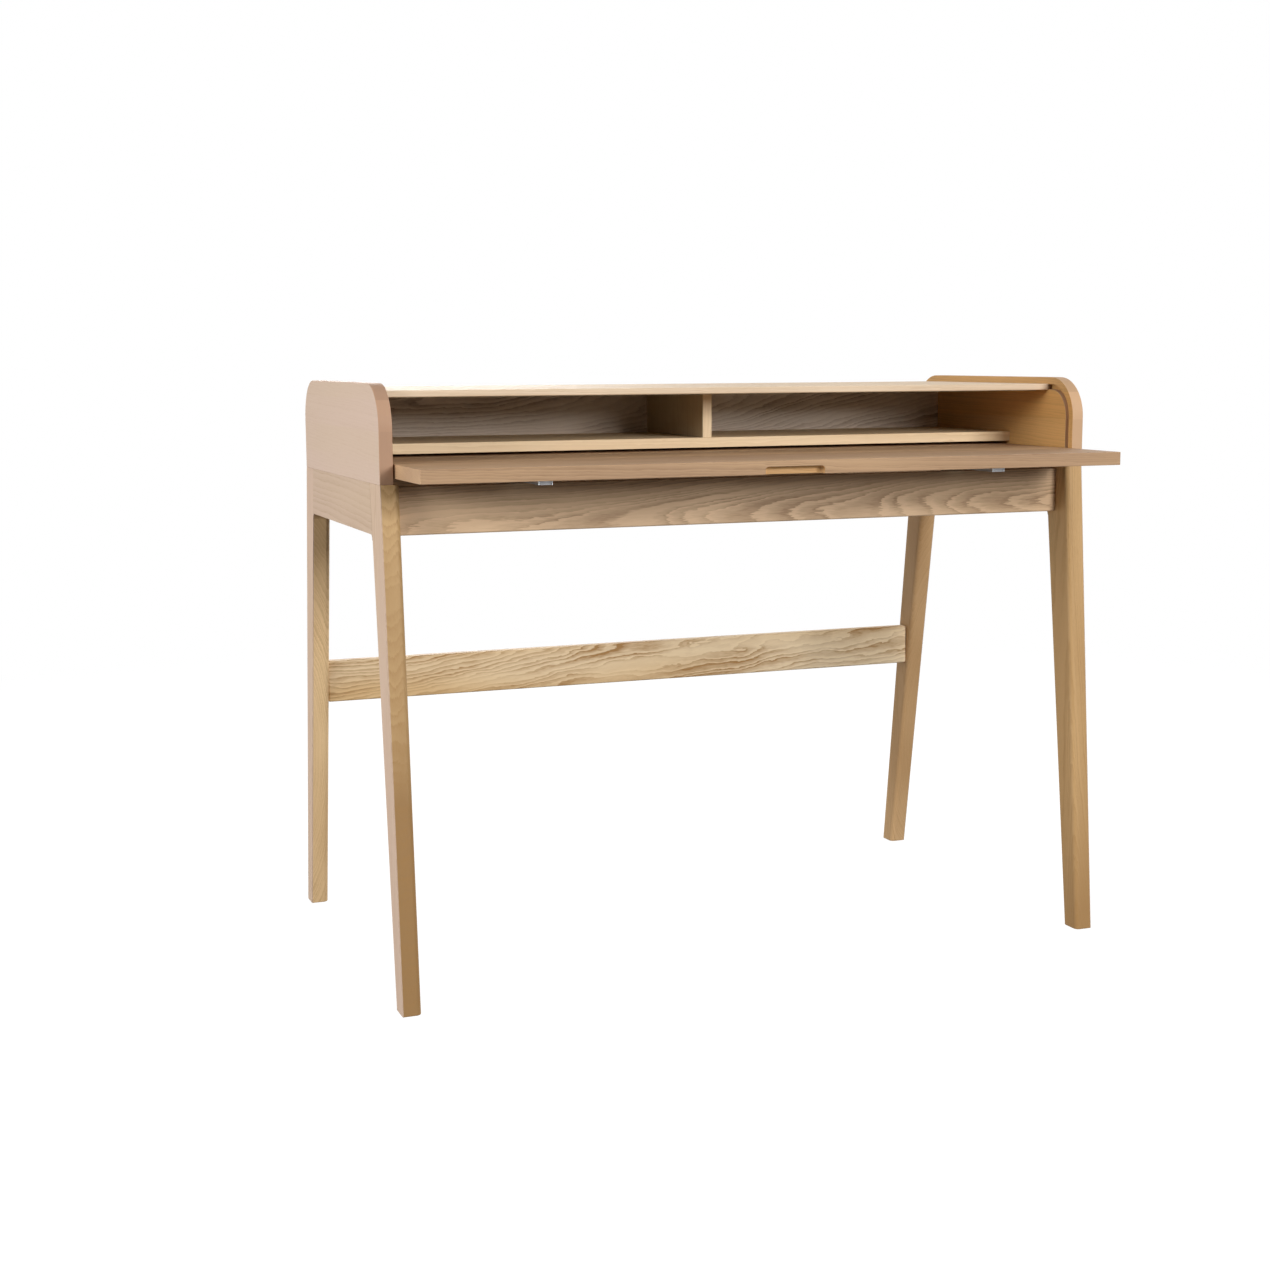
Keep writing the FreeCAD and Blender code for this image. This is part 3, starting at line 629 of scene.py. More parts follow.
    def banded(self, tree: Tree, colour: Socket, thick: int) -> Socket:
        """Give the edges, which look along neither side of the thickness, their own tone.

        Args:
            tree: the material's nodes.
            colour: the board's colour.
            thick: index of the thickness axis.

        Returns:
            The colour with its edge tone.
        """
        normal = add(tree, "TexCoord").outputs["Normal"]
        split = add(tree, "SeparateXYZ", {0: normal})
        square = add(tree, "Math", {0: split.outputs[thick], 1: 2.0}, operation="POWER")
        facing = add(tree, "Math", {0: square, 1: -BAND_REACH, 2: BAND_REACH},
                     operation="MULTIPLY_ADD", use_clamp=True)
        tinted = add(tree, "Mix", {0: facing, COLOUR_A: colour, COLOUR_B: linear(self.band)},
                     data_type="RGBA")
        return tinted.outputs[COLOUR_OUT]


# ---------------------------------------------------------------- canvas and zinc
@dataclass(frozen=True)
class Canvas:
    """Unbleached cotton canvas, plain woven, stiff with glue on the slat side."""

    thread: str = "#d2c6ae"
    gap: str = "#9a8d74"
    spacing: float = 1.5             # millimetres; real threads lie 0.6 mm apart
    relief: float = 0.2              # millimetres
    wave_period: float = math.tau / 20         # of Blender's wave texture at scale 1

    def material(self, name: str) -> Material:
        """Weave the canvas over the piece's own UV map, which is in metres.

        Args:
            name: the material's name.

        Returns:
            The material.
        """
        made, tree = blank(name)
        place = add(tree, "UVMap", uv_map="cloth")
        thread = {"Vector": place, "Scale": self.wave_period / (self.spacing * MM),
                  "Distortion": 0.6, "Detail": 1.0}
        waves = [add(tree, "TexWave", thread, bands_direction=axis).outputs["Fac"]
                 for axis in ("X", "Y")]
        weave = add(tree, "Math", {0: waves[0], 1: waves[1]}, operation="MULTIPLY")
        colour = add(tree, "Mix",
                     {0: weave, COLOUR_A: linear(self.gap), COLOUR_B: linear(self.thread)},
                     data_type="RGBA")
        bump = add(tree, "Bump", {"Height": weave, "Strength": 0.5, "Distance": self.relief * MM})
        shader = add(tree, "BsdfPrincipled",
                     {"Base Color": colour.outputs[COLOUR_OUT], "Normal": bump, "Roughness": 0.9,
                      "Sheen Weight": 0.2})
        add(tree, "OutputMaterial", {"Surface": shader})
        return made


@dataclass(frozen=True)
class Zinc:
    """Bright zinc plating on cold-rolled steel: faint rolling marks along the metal."""

    colour: str = "#c6c9cb"
    shade: str = "#a9adb0"
    roughness: float = 0.34
    spread: tuple[float, float] = (0.08, 0.1)  # how much smoother and rougher the marks are
    mark: float = 0.7                # millimetres between rolling marks
    along: float = 30.0              # marks per metre of rolling
    clouds: float = 90.0             # cloudy patches per metre

    def material(self, name: str) -> Material:
        """Plate the steel.

        Args:
            name: the material's name.

        Returns:
            The material.
        """
        made, tree = blank(name)
        place = add(tree, "TexCoord").outputs["Object"]
        across = 1 / (self.mark * MM)
        marks = streaks(tree, place, (across, self.along, across), 2.0)
        cloud = add(tree, "TexNoise", {"Vector": place, "Scale": self.clouds, "Detail": 2.0})
        colour = add(tree, "Mix",
                     {0: cloud, COLOUR_A: linear(self.colour), COLOUR_B: linear(self.shade)},
                     data_type="RGBA")
        rough = add(tree, "MapRange",
                    {"Value": marks, "To Min": self.roughness - self.spread[0],
                     "To Max": self.roughness + self.spread[1]})
        shader = add(tree, "BsdfPrincipled",
                     {"Base Color": colour.outputs[COLOUR_OUT], "Roughness": rough,
                      "Metallic": 1.0})
        add(tree, "OutputMaterial", {"Surface": shader})
        return made


# ---------------------------------------------------------------- boards
@dataclass
class Board:
    """One wooden piece: its solid with eased edges, cut from its own log."""

    node: str
    slot: str
    grain: Grain
    oak: Oak
    ease: float = 0.6                # millimetres

    def build(self, desk: Desk) -> Piece:
        """Make the board and let it stand for its node.

        Args:
            desk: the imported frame.

        Returns:
            The board.
        """
        piece = desk.eased(self.node, self.node + "_board", self.ease)
        coat(piece.data, self.oak.material(self.node + "_oak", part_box(self.node), self.grain))
        return desk.place(piece, self.node, self.slot)


@dataclass
class LegFrame:
    """The tapered legs and the flush rail of one side."""

    side: str
    seed: int
    fall: float                      # how much the front leg browns towards its foot
    pale: str
    flush: str
    pith: tuple[float, float]
    # drift of the back leg towards its flushed tone per metre up; a browner top is painted shade
    back_fall: float
    back_pale: str
    back_flush: str
    front_rake: float = 5.95         # degrees of the legs' middle lines from upright
    back_rake: float = -6.1
    ease: float = 1.2

    def boards(self) -> list[Board]:
        """Cut the three boards of this side.

        Returns:
            The front leg, the back leg and the rail between them.
        """
        out = 1 if self.side == "right" else -1
        # Painted daylight: the outward faces of the legs and rail get a paler, pinker tone.
        painted_layer = PaintedLightLayer("#c2a98f", "#a98d73", "#c1a793", side=out, thickness=1.6)
        leg = Oak(pale=self.pale, dark="#a67e4b", flush=self.flush, contrast=0.4, ring=2.8,
                  wander=9.0, flame=1.8, pith=(self.pith[0], self.pith[1] * out),
                  lean=(2.6, 0.6), fall=self.fall, seed=self.seed,
                  painted_light_face=replace(painted_layer, pale="#cab096", dark="#b09379", flush="#c9ae99"))
        front = replace(leg, rake=self.front_rake)
        back = replace(leg, rake=self.back_rake, fall=self.back_fall, pale=self.back_pale,
                       flush=self.back_flush, contrast=0.3, pith=(20.0, 50.0 * out),
                       seed=self.seed + 5)
        rail = Oak(pale="#c9a67a", dark="#8f6b3e", flush="#c4a075", contrast=0.34, ring=9.0,
                   wander=14.0, pith=(-70.0, -30.0 * out), lean=(1.0, 1.2), seed=self.seed + 9,
                   painted_light_face=painted_layer)
        return [Board("front_leg_" + self.side, "oak_leg", Grain.UPRIGHT, front, self.ease),
                Board("back_leg_" + self.side, "oak_leg", Grain.UPRIGHT, back, self.ease),
                Board("side_rail_" + self.side, "oak_panel", Grain.DEEP, rail)]


@dataclass
class CrossRails:
    """Aprons, bearers and the stretcher."""

    brown: Oak = field(default_factory=lambda: Oak(
        pale="#e6c6a2", dark="#775535", flush="#dbba94", contrast=0.4, ring=2.6, wander=14.0,
        flame=1.2, pith=(-26.0, 60.0), lean=(0.5, -2.2), patchy=0.5, seed=26))
    bold: Oak = field(default_factory=lambda: Oak(
        pale="#f8e3c0", dark="#a67c49", flush="#e3c18f", contrast=0.62, ring=7.0, wander=46.0,
        flame=7.0, pith=(60.0, 45.0), lean=(3.0, 5.0), patchy=0.6, fall=-0.3, seed=29))

    def boards(self) -> list[Board]:
        """Cut the rails that run across the desk, and the two that carry the runners.

        Returns:
            The aprons, the stretcher and the bearers.
        """
        rails = [Board("front_apron", "oak_rail", Grain.ACROSS, self.brown),
                 Board("back_apron", "oak_rail", Grain.ACROSS, self.brown),
                 Board("stretcher", "oak_rail", Grain.ACROSS, self.bold, ease=0.5)]
        return rails + [Board("runner_bearer_" + side, "oak_rail", Grain.DEEP, self.brown)
                        for side in SIDES]


@dataclass
class Case:
    """Side panels, shelf, divider and back panel."""

    panel_ease: float = 0.9

    def boards(self) -> list[Board]:
        """Cut the boards of the case above the leg frames.

        Returns:
            The side panels, the shelf, the divider and the back panel.
        """
        panel = Oak(pale="#c9a377", dark="#94703f", flush="#bd9468", contrast=0.3, ring=4.6,
                    wander=12.0, pith=(-20.0, 60.0), lean=(1.5, 1.0), stave=41.4,
                    first_stave=18, matching=0.1, seed=31)
        # Painted daylight: the side panels' outward faces get a paler, pinker tone.
        painted_layer = PaintedLightLayer("#c7af98", "#b69b83", "#c9b09e", side=-1, thickness=1.2)
        left = replace(panel, pale="#b48a60", flush="#aa7e54", band="#ae8a6f", contrast=0.16,
                       painted_light_face=painted_layer)
        right = replace(panel, pale="#e6b676", flush="#d9a665", band="#c6a17d", contrast=0.2,
                        painted_light_face=replace(painted_layer, side=1))
        inside = Oak(pale="#f1e2d2", dark="#8f755c", flush="#e2cdb8", contrast=0.4, ring=5.0,
                     wander=26.0, flame=3.4, pith=(70.0, 30.0), lean=(4.0, 7.0), patchy=0.6,
                     seed=38)
        edge = Oak(pale="#f0dab6", dark="#cbab7c", flush="#ebd0aa", contrast=0.35, ring=3.0,
                   seed=41)
        # Painted shade: the divider's left face gets darker tones, as the light comes from the
        # right front.
        shaded = PaintedLightLayer("#cab899", "#aa9068", "#c5b08f", side=-1, thickness=0.8)
        return [Board("side_panel_left", "oak_panel", Grain.DEEP, left, self.panel_ease),
                Board("side_panel_right", "oak_panel", Grain.DEEP, right, self.panel_ease),
                Board("shelf", "oak_interior", Grain.ACROSS, edge),
                Board("divider", "oak_interior", Grain.UPRIGHT, replace(edge, painted_light_face=shaded)),
                Board("back_panel", "oak_interior", Grain.ACROSS, inside)]


@dataclass
class WritingSurface:
    """The sliding top, glued up from staves, with a finger cove routed into its front edge."""

    stave: float = 92.0
    ease: float = 0.5
    cove_reach: float = 46.0         # from the middle to either side
    cove_depth: float = 14.0
    cove_height: float = 11.6
    rim: float = 0.3                 # faces this near the board's own sides aren't the cove's

    def build(self, desk: Desk) -> None:
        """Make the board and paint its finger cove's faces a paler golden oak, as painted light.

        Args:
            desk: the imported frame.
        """
        oak = Oak(pale="#c6a17a", dark="#8a694a", flush="#ab896b", contrast=0.36, ring=3.2,
                  wander=9.0, pith=(0.0, -50.0), lean=(0.8, 1.2), stave=self.stave, seed=52)
        piece = Board("worktop", "oak_worktop", Grain.ACROSS, oak, self.ease).build(desk)
        # Painted light: the cove's faces are paler and golder, so that the shaded recess reads as
        # lit by the low front light.
        cove_light_oak = replace(oak, pale="#e0b67f", flush="#cfa067", dark="#a9763f", stave=0.0)
        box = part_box("worktop")
        piece.data.materials.append(cove_light_oak.material("cove_painted_light_oak", box, Grain.ACROSS))
        for face in piece.data.polygons:
            from_middle, behind, over = face.center - Vector((0.0, box[0].y, box[0].z))
            if (abs(from_middle) < self.cove_reach * MM
                    and self.rim * MM < behind < self.cove_depth * MM
                    and self.rim * MM < over < self.cove_height * MM):
                face.material_index = 1


# ---------------------------------------------------------------- ball runners
@dataclass
class BallRunners:
    """Folded zinc-plated channels with their end tabs, ball cages and pan-head screws."""

    ease: float = 0.35
    metal: float = 1.2
    tab_inset: float = 0.4
    cage_metal: float = 0.6
    ball_radius: float = 0.85
    ball_subdivisions: int = 2
    balls: int = 14
    head_radius: float = 3.5
    head_height: float = 1.2
    crown: float = 0.74              # share of the head's radius that is left at its top
    head_sides: int = 24
    shank_radius: float = 1.75
    shank_sides: int = 16
    recess_width: float = 0.7
    recess_reach: float = 3.4
    zinc: Zinc = field(default_factory=Zinc)

    def build(self, desk: Desk) -> None:
        """Make both runners.

        Args:
            desk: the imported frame.
        """
        plate = self.zinc.material("zinc_plate")
        dull = replace(self.zinc, colour="#b0b1b3", shade="#7d7e81",
                       roughness=0.5).material("sheared_zinc_plate")
        steel = replace(self.zinc, colour="#a7a9ab", shade="#8b8e91",
                        roughness=0.28).material("bright_steel")
        for side in SIDES:
            for kind in ("runner_fixed_", "runner_moving_"):
                piece = desk.eased(kind + side, kind + side + "_channel", self.ease)
                coat(piece.data, plate)
                if kind == "runner_moving_":
                    piece.data.materials.append(dull)
                    self.end_tab(piece)
                desk.place(piece, kind + side, "zinc_steel")
            self.cage(desk, "ball_cage_" + side, steel)
        self.screws(desk, "runner_screws_fixed", steel, True)
        self.screws(desk, "runner_screws_moving", steel, False)

    def end_tab(self, channel: Piece) -> None:
        """Fold a tab across the front end of a channel, between its walls.

        Args:
            channel: the moving member, to whose mesh the tab is added.
        """
        points = [vertex.co for vertex in channel.data.vertices]
        low = Vector(min(point[axis] for point in points) for axis in range(3))
        high = Vector(max(point[axis] for point in points) for axis in range(3))
        metal = self.metal * MM
        inset = (self.metal + self.tab_inset) * MM
        size = Vector((high.x - low.x - 2 * metal, metal, high.z - low.z - metal))
        middle = Vector(((low.x + high.x) / 2, low.y + inset, (low.z + high.z - metal) / 2))
        shape = bmesh.new()
        tab = bmesh.ops.create_cube(shape, size=1.0)["verts"]
        bmesh.ops.scale(shape, vec=size, verts=tab)
        bmesh.ops.translate(shape, vec=middle, verts=tab)
        bmesh.ops.bevel(shape, geom=shape.edges[:], offset=self.ease * MM,
                        segments=EASE_SEGMENTS, affect="EDGES", profile=ROUND_PROFILE)
        for face in shape.faces:
            face.material_index = 1
        shape.from_mesh(channel.data)
        shape.to_mesh(channel.data)
        shape.free()

    def cage(self, desk: Desk, node: str, steel: Material) -> None:
        """Make one ball cage: a thin channel with a row of balls in each wall.

        Args:
            desk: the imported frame.
            node: the node that it stands for.
            steel: material of balls and cage.
        """
        low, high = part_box(node)
        tree, given = open_tree(node, ("Balls",), ("Ball radius",), (
            "Web", "Web place", "Wall", "Wall place", "First ball", "Step"))
        web = add(tree, "MeshCube", {"Size": given["Web"]})
        wall = add(tree, "MeshCube", {"Size": given["Wall"]})
        ball = add(tree, "MeshIcoSphere", {"Radius": given["Ball radius"],
                                           "Subdivisions": self.ball_subdivisions})
        parts = [add(tree, "Transform", {"Geometry": web, "Translation": given["Web place"]})]
        for side in (-1.0, 1.0):
            wall_at, start = [add(tree, "VectorMath", {0: given[place], 1: (side, 1.0, 1.0)},
                                  operation="MULTIPLY") for place in ("Wall place", "First ball")]
            row = add(tree, "MeshLine", {"Count": given["Balls"], "Start Location": start,
                                         "Offset": given["Step"]}, mode="OFFSET")
            parts += [add(tree, "Transform", {"Geometry": wall, "Translation": wall_at}),
                      add(tree, "InstanceOnPoints", {"Points": row, "Instance": ball})]
        whole = add(tree, "JoinGeometry", {0: parts})
        close_tree(tree, steel, {"Geometry": whole, "Translation": given["Place"]})
        metal, radius = self.cage_metal * MM, self.ball_radius * MM
        width, length, height = high - low
        aside = width / 2 - radius
        spacing = length / self.balls
        made = grown(node + "_balls", tree, {
            "Balls": self.balls, "Ball radius": radius,
            "Web": (2 * aside + metal, length, metal), "Web place": (0.0, 0.0, metal / 2),
            "Wall": (metal, length, height), "Wall place": (aside, 0.0, height / 2),
            "First ball": (aside, (spacing - length) / 2, height - radius),
            "Step": (0.0, spacing, 0.0),
            "Place": ((low.x + high.x) / 2, (low.y + high.y) / 2, low.z)})
        desk.place(made, node, "zinc_steel")

    def screws(self, desk: Desk, node: str, steel: Material, head_up: bool) -> None:
        """Make a group of four cross-recessed pan-head screws.

        Args:
            desk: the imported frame.
            node: the node that they stand for.
            steel: their material.
            head_up: whether the heads look up.
        """
        low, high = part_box(node)
        tree, given = open_tree(node, (), (
            "Head radius", "Crown radius", "Head height", "Shank radius", "Shank length",
            "Across", "Deep"), ("Slot along", "Slot across", "Slot place", "Shank place", "Turn"))
        head = add(tree, "MeshCone", {"Vertices": self.head_sides, "Depth": given["Head height"],
                                      "Radius Top": given["Crown radius"],
                                      "Radius Bottom": given["Head radius"]})
        for slot in ("Slot along", "Slot across"):
            bar = add(tree, "MeshCube", {"Size": given[slot]})
            raised = add(tree, "Transform", {"Geometry": bar, "Translation": given["Slot place"]})
            head = add(tree, "MeshBoolean", {"Mesh 1": head, "Mesh 2": raised},
                       operation="DIFFERENCE")
        shank = add(tree, "MeshCylinder", {"Vertices": self.shank_sides,
                                           "Radius": given["Shank radius"],
                                           "Depth": given["Shank length"]})
        lowered = add(tree, "Transform", {"Geometry": shank, "Translation": given["Shank place"]})
        screw = add(tree, "JoinGeometry", {0: [head, lowered]})
        turned = add(tree, "Transform", {"Geometry": screw, "Rotation": given["Turn"]})
        grid = add(tree, "MeshGrid", {"Size X": given["Across"], "Size Y": given["Deep"],
                                      "Vertices X": 2, "Vertices Y": 2})
        group = add(tree, "InstanceOnPoints", {"Points": grid, "Instance": turned})
        close_tree(tree, steel, {"Geometry": group, "Translation": given["Place"]})
        radius, height = self.head_radius * MM, self.head_height * MM
        reach, width = self.recess_reach * MM, self.recess_width * MM
        shank_length = high.z - low.z - height
        seat = high.z - height if head_up else low.z + height
        made = grown(node + "_pan_heads", tree, {
            "Head radius": radius, "Crown radius": radius * self.crown, "Head height": height,
            "Shank radius": self.shank_radius * MM, "Shank length": shank_length,
            "Across": high.x - low.x - 2 * radius, "Deep": high.y - low.y - 2 * radius,
            "Slot along": (reach, width, height), "Slot across": (width, reach, height),
            "Slot place": (0.0, 0.0, height), "Shank place": (0.0, 0.0, -shank_length / 2),
            "Turn": (0.0 if head_up else math.pi, 0.0, 0.0),
            "Place": ((low.x + high.x) / 2, (low.y + high.y) / 2, seat)})
        desk.place(made, node, "screw_steel")


# ---------------------------------------------------------------- tambour
@dataclass
class Track:
    """The groove's centreline, from the side panel's box and its driving sizes."""

    inset: float = 15.0
    radius: float = 45.0
    bend_pitches: int = 4
    top_pitches: int = 20

    def __post_init__(self) -> None:
        """Work out the pitch and the bends from the panel."""
        low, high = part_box("side_panel_left")
        self.pitch = math.pi / 2 * self.radius / self.bend_pitches
        self.half_step = math.pi / 4 / self.bend_pitches
        self.front = low.y / MM + self.inset + self.radius
        self.back = high.y / MM - self.inset - self.radius
        self.height = high.z / MM - self.inset - self.radius

    def pose(self, index: int) -> Triple:
        """Place of a slat on the open track.

        Args:
            index: the slat's number, counted from the lead rail.

        Returns:
            Y and Z in millimetres, and the tilt about X in radians.
        """
        past = index + 1 - self.top_pitches
        if past <= 0:
            return self.front + (index + 1) * self.pitch, self.height + self.radius, 0.0
        if past < self.bend_pitches:
            angle = past * self.pitch / self.radius
            return (self.back + self.radius * math.sin(angle),
                    self.height + self.radius * math.cos(angle), -angle)
        down = (past - self.bend_pitches) * self.pitch
        return self.back + self.radius, self.height - down, -math.pi / 2


@dataclass
class Tambour:
    """The curtain: slats with end tongues, the lead rail and the canvas behind them."""

    closing_pitches: int = 7
    back_slats: int = 4
    thickness: float = 9.4
    slat_gap: float = 0.5
    edge_radius: float = 0.9
    edge_points: int = 3
    lead_ease: float = 0.4
    tongue_width: float = 9.0
    tongue_thickness: float = 6.6
    shoulder_gap: float = 0.5
    tongue_reach: float = 8.0
    canvas_margin: float = 22.0
    canvas_thickness: float = 0.6
    canvas_gap: float = 0.4
    dent: float = 0.2                # the canvas draws in between two slats
    dent_width: float = 1.4
    plank: tuple[Triple, Triple] = ((-0.5, -0.2, 0.8), (0.5, 0.2, 0.85))   # metres
    oak: Oak = field(default_factory=lambda: Oak(
        pale="#e8d4b8", dark="#b7976e", flush="#dfc6ac", contrast=0.34, ring=3.0, wander=8.0,
        pith=(0.0, -60.0), lean=(0.8, 0.5), stave=17.0, seed=61))
    track: Track = field(default_factory=Track)

    def build(self, desk: Desk) -> None:
        """Make every run of slats and its canvas.

        Args:
            desk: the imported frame.
        """
        low, high = (Vector(corner) for corner in self.plank)
        wood = self.oak.material("slat_oak", (low, high), Grain.ACROSS)
        cloth = Canvas().material("cotton_canvas")
        lead = desk.eased("tambour_lead_rail", "tambour_lead_rail_board", self.lead_ease)
        coat(lead.data, wood)
        desk.place(lead, "tambour_lead_rail", "oak_tambour")
        tree = self.slat_tree(wood)
        bends = self.track.bend_pitches
        front = self.closing_pitches - bends
        top = self.track.top_pitches
        runs = [("tambour_slats_front", 1, front - 1),
                ("tambour_slats_top", self.closing_pitches - 1, top - 1),
                ("tambour_slats_back", top + bends - 1, top + bends + self.back_slats - 2)]
        for step in range(1, bends):
            runs.append((f"tambour_slat_front_{step}", front - 1 + step, front - 1 + step))
            runs.append((f"tambour_slat_back_{step}", top - 1 + step, top - 1 + step))
        for node, first, last in runs:
            self.slats(desk, tree, node, first, last)
            start = 0 if node == "tambour_slats_front" else first
            under = node.replace("slats", "canvas").replace("slat", "canvas")
            self.backing(desk, under, start, last, cloth)

    def slats(self, desk: Desk, tree: Tree, node: str, first: int, last: int) -> None:
        """Make one run of slats that lie in a plane.

        Args:
            desk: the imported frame.
            tree: the Geometry Nodes tree of a run.
            node: the node that the run stands for.
            first: number of its first slat.
            last: number of its last slat.
        """
        y, z, tilt = self.track.pose(first)
        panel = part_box("side_panel_right")[0].x
        under = self.track.radius - self.thickness / 2
        inner = under * math.tan(self.track.half_step) - self.slat_gap / 3
        shoulder = panel - self.shoulder_gap * MM
        values = {
            "Slats": last - first + 1, "Step": (0.0, self.track.pitch * MM, 0.0),
            "Left shoulder": (0.0, 0.0, -shoulder), "Right shoulder": (0.0, 0.0, shoulder),
            "Tongue tip": (0.0, 0.0, shoulder + self.tongue_reach * MM),
            "Outer width": (self.track.pitch - self.slat_gap) * MM, "Inner width": 2 * inner * MM,
            "Thickness": self.thickness * MM, "Edge radius": self.edge_radius * MM,
            "Tongue width": self.tongue_width * MM,
            "Tongue thickness": self.tongue_thickness * MM,
            "Turn": (tilt, 0.0, 0.0), "Place": (0.0, y * MM, z * MM)}
        desk.place(grown(node + "_run", tree, values), node, "oak_tambour")

    def backing(self, desk: Desk, node: str, first: int, last: int, cloth: Material) -> None:
        """Stretch the canvas that is glued under one run of slats.

        Args:
            desk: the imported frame.
            node: the canvas node.
            first: number of the first slat over it.
            last: number of the last slat over it.
            cloth: the canvas material.
        """
        y, z, tilt = self.track.pose(first)
        top = -self.thickness / 2
        under = self.track.radius + top - self.canvas_thickness
        half = under * math.tan(self.track.half_step) - self.canvas_gap / 2
        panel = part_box("side_panel_right")[0].x / MM
        reach = panel - self.shoulder_gap - self.canvas_margin
        length = 2 * half + (last - first) * self.track.pitch
        rows = [-half]
        for gap in range(last - first):
            joint = (gap + 0.5) * self.track.pitch
            rows += [joint - self.dent_width, joint, joint + self.dent_width]
        rows.append(length - half)
        shape = bmesh.new()
        uv = shape.loops.layers.uv.new("cloth")
        turn = Matrix.Rotation(tilt, 3, "X")
        sections = []
        for row, along in enumerate(rows):
            dent = self.dent if 0 < row < len(rows) - 1 and row % 3 == 2 else 0.0
            low = top - self.canvas_thickness + dent
            ring = []
            for x, height in ((-reach, low), (reach, low), (reach, top), (-reach, top)):
                place = turn @ Vector((0.0, along, height)) + Vector((x, y, z))
                ring.append(shape.verts.new(place * MM))
            sections.append((along, ring))
        shape.faces.new(list(reversed(sections[0][1])))
        shape.faces.new(sections[-1][1])
        for (start, near), (end, far) in zip(sections, sections[1:]):
            for i in range(4):
                j = (i + 1) % 4
                face = shape.faces.new((near[i], near[j], far[j], far[i]))
                for loop, v in zip(face.loops, (start, start, end, end)):
                    loop[uv].uv = (loop.vert.co.x, v * MM)
        bmesh.ops.recalc_face_normals(shape, faces=shape.faces)
        piece = shaped(node + "_cloth", shape)
        coat(piece.data, cloth)
        desk.place(piece, node, "canvas")

    def slat_tree(self, wood: Material) -> Tree:
        """Geometry Nodes of a straight run: one slat with two tongues, repeated at the pitch.

        Args:
            wood: the slats' material.

        Returns:
            The tree, with its sizes as named inputs.
        """
        tree, given = open_tree("slat_run", ("Slats",), (
            "Outer width", "Inner width", "Thickness", "Edge radius", "Tongue width",
            "Tongue thickness"), ("Step", "Left shoulder", "Right shoulder", "Tongue tip", "Turn"))
        section = add(tree, "CurvePrimitiveQuadrilateral",
                      {"Height": given["Thickness"], "Bottom Width": given["Inner width"],
                       "Top Width": given["Outer width"], "Offset": 0.0}, mode="TRAPEZOID")
        slat = self.swept(tree, section, given["Edge radius"], given["Left shoulder"],
                          given["Right shoulder"])
        tongue_section = add(tree, "CurvePrimitiveQuadrilateral",
                             {"Width": given["Tongue width"],
                              "Height": given["Tongue thickness"]}, mode="RECTANGLE")
        tongue = self.swept(tree, tongue_section, given["Edge radius"], given["Right shoulder"],
                            given["Tongue tip"])
        other = add(tree, "Transform", {"Geometry": tongue, "Rotation": (0.0, 0.0, math.pi)})
        whole = add(tree, "JoinGeometry", {0: [slat, tongue, other]})
        row = add(tree, "MeshLine", {"Count": given["Slats"], "Offset": given["Step"]},
                  mode="OFFSET")
        slats = add(tree, "InstanceOnPoints", {"Points": row, "Instance": whole})
        close_tree(tree, wood, {"Geometry": slats, "Translation": given["Place"],
                                "Rotation": given["Turn"]})
        return tree

    def swept(self, tree: Tree, section: Node, radius: Socket, start: Socket,
              end: Socket) -> Node:
        """Sweep a rounded section along X.

        Args:
            tree: the tree that gets the nodes.
            section: the section's curve, its width along X and its height along Y.
            radius: radius of its corners.
            start: where the sweep begins, along Z until it is turned.
            end: where the sweep ends.

        Returns:
            The swept solid, its width along Y and its height along Z.
        """
        rounded = add(tree, "FilletCurve", {"Curve": section, "Radius": radius,
                                            "Count": self.edge_points}, mode="POLY")
        path = add(tree, "CurvePrimitiveLine", {"Start": start, "End": end})
        solid = add(tree, "CurveToMesh", {"Curve": path, "Profile Curve": rounded,
                                          "Fill Caps": True})
        return add(tree, "Transform", {"Geometry": solid,
                                       "Rotation": (math.pi / 2, 0.0, math.pi / 2)})


# ---------------------------------------------------------------- studio
# A lamp's name, its place, its width and height in metres and its power in watts.
LAMPS = (("side", (-3.4, -1.3, 1.75), (1.8, 1.0), 63.0),
         ("low side", (-3.5, 0.2, 0.4), (1.2, 0.6), 39.0),
         ("front", (1.7, -5.0, 2.08), (1.9, 1.64), 213.0),
         ("back", (0.3, 4.6, 2.2), (2.4, 1.8), 110.0),
         ("far side", (3.8, 1.8, 1.7), (2.0, 1.4), 75.0),
         ("ceiling", (0.0, -0.5, 3.2), (2.4, 2.0), 17.0))
LAMP_AIM = (0.0, 0.0, 0.55)


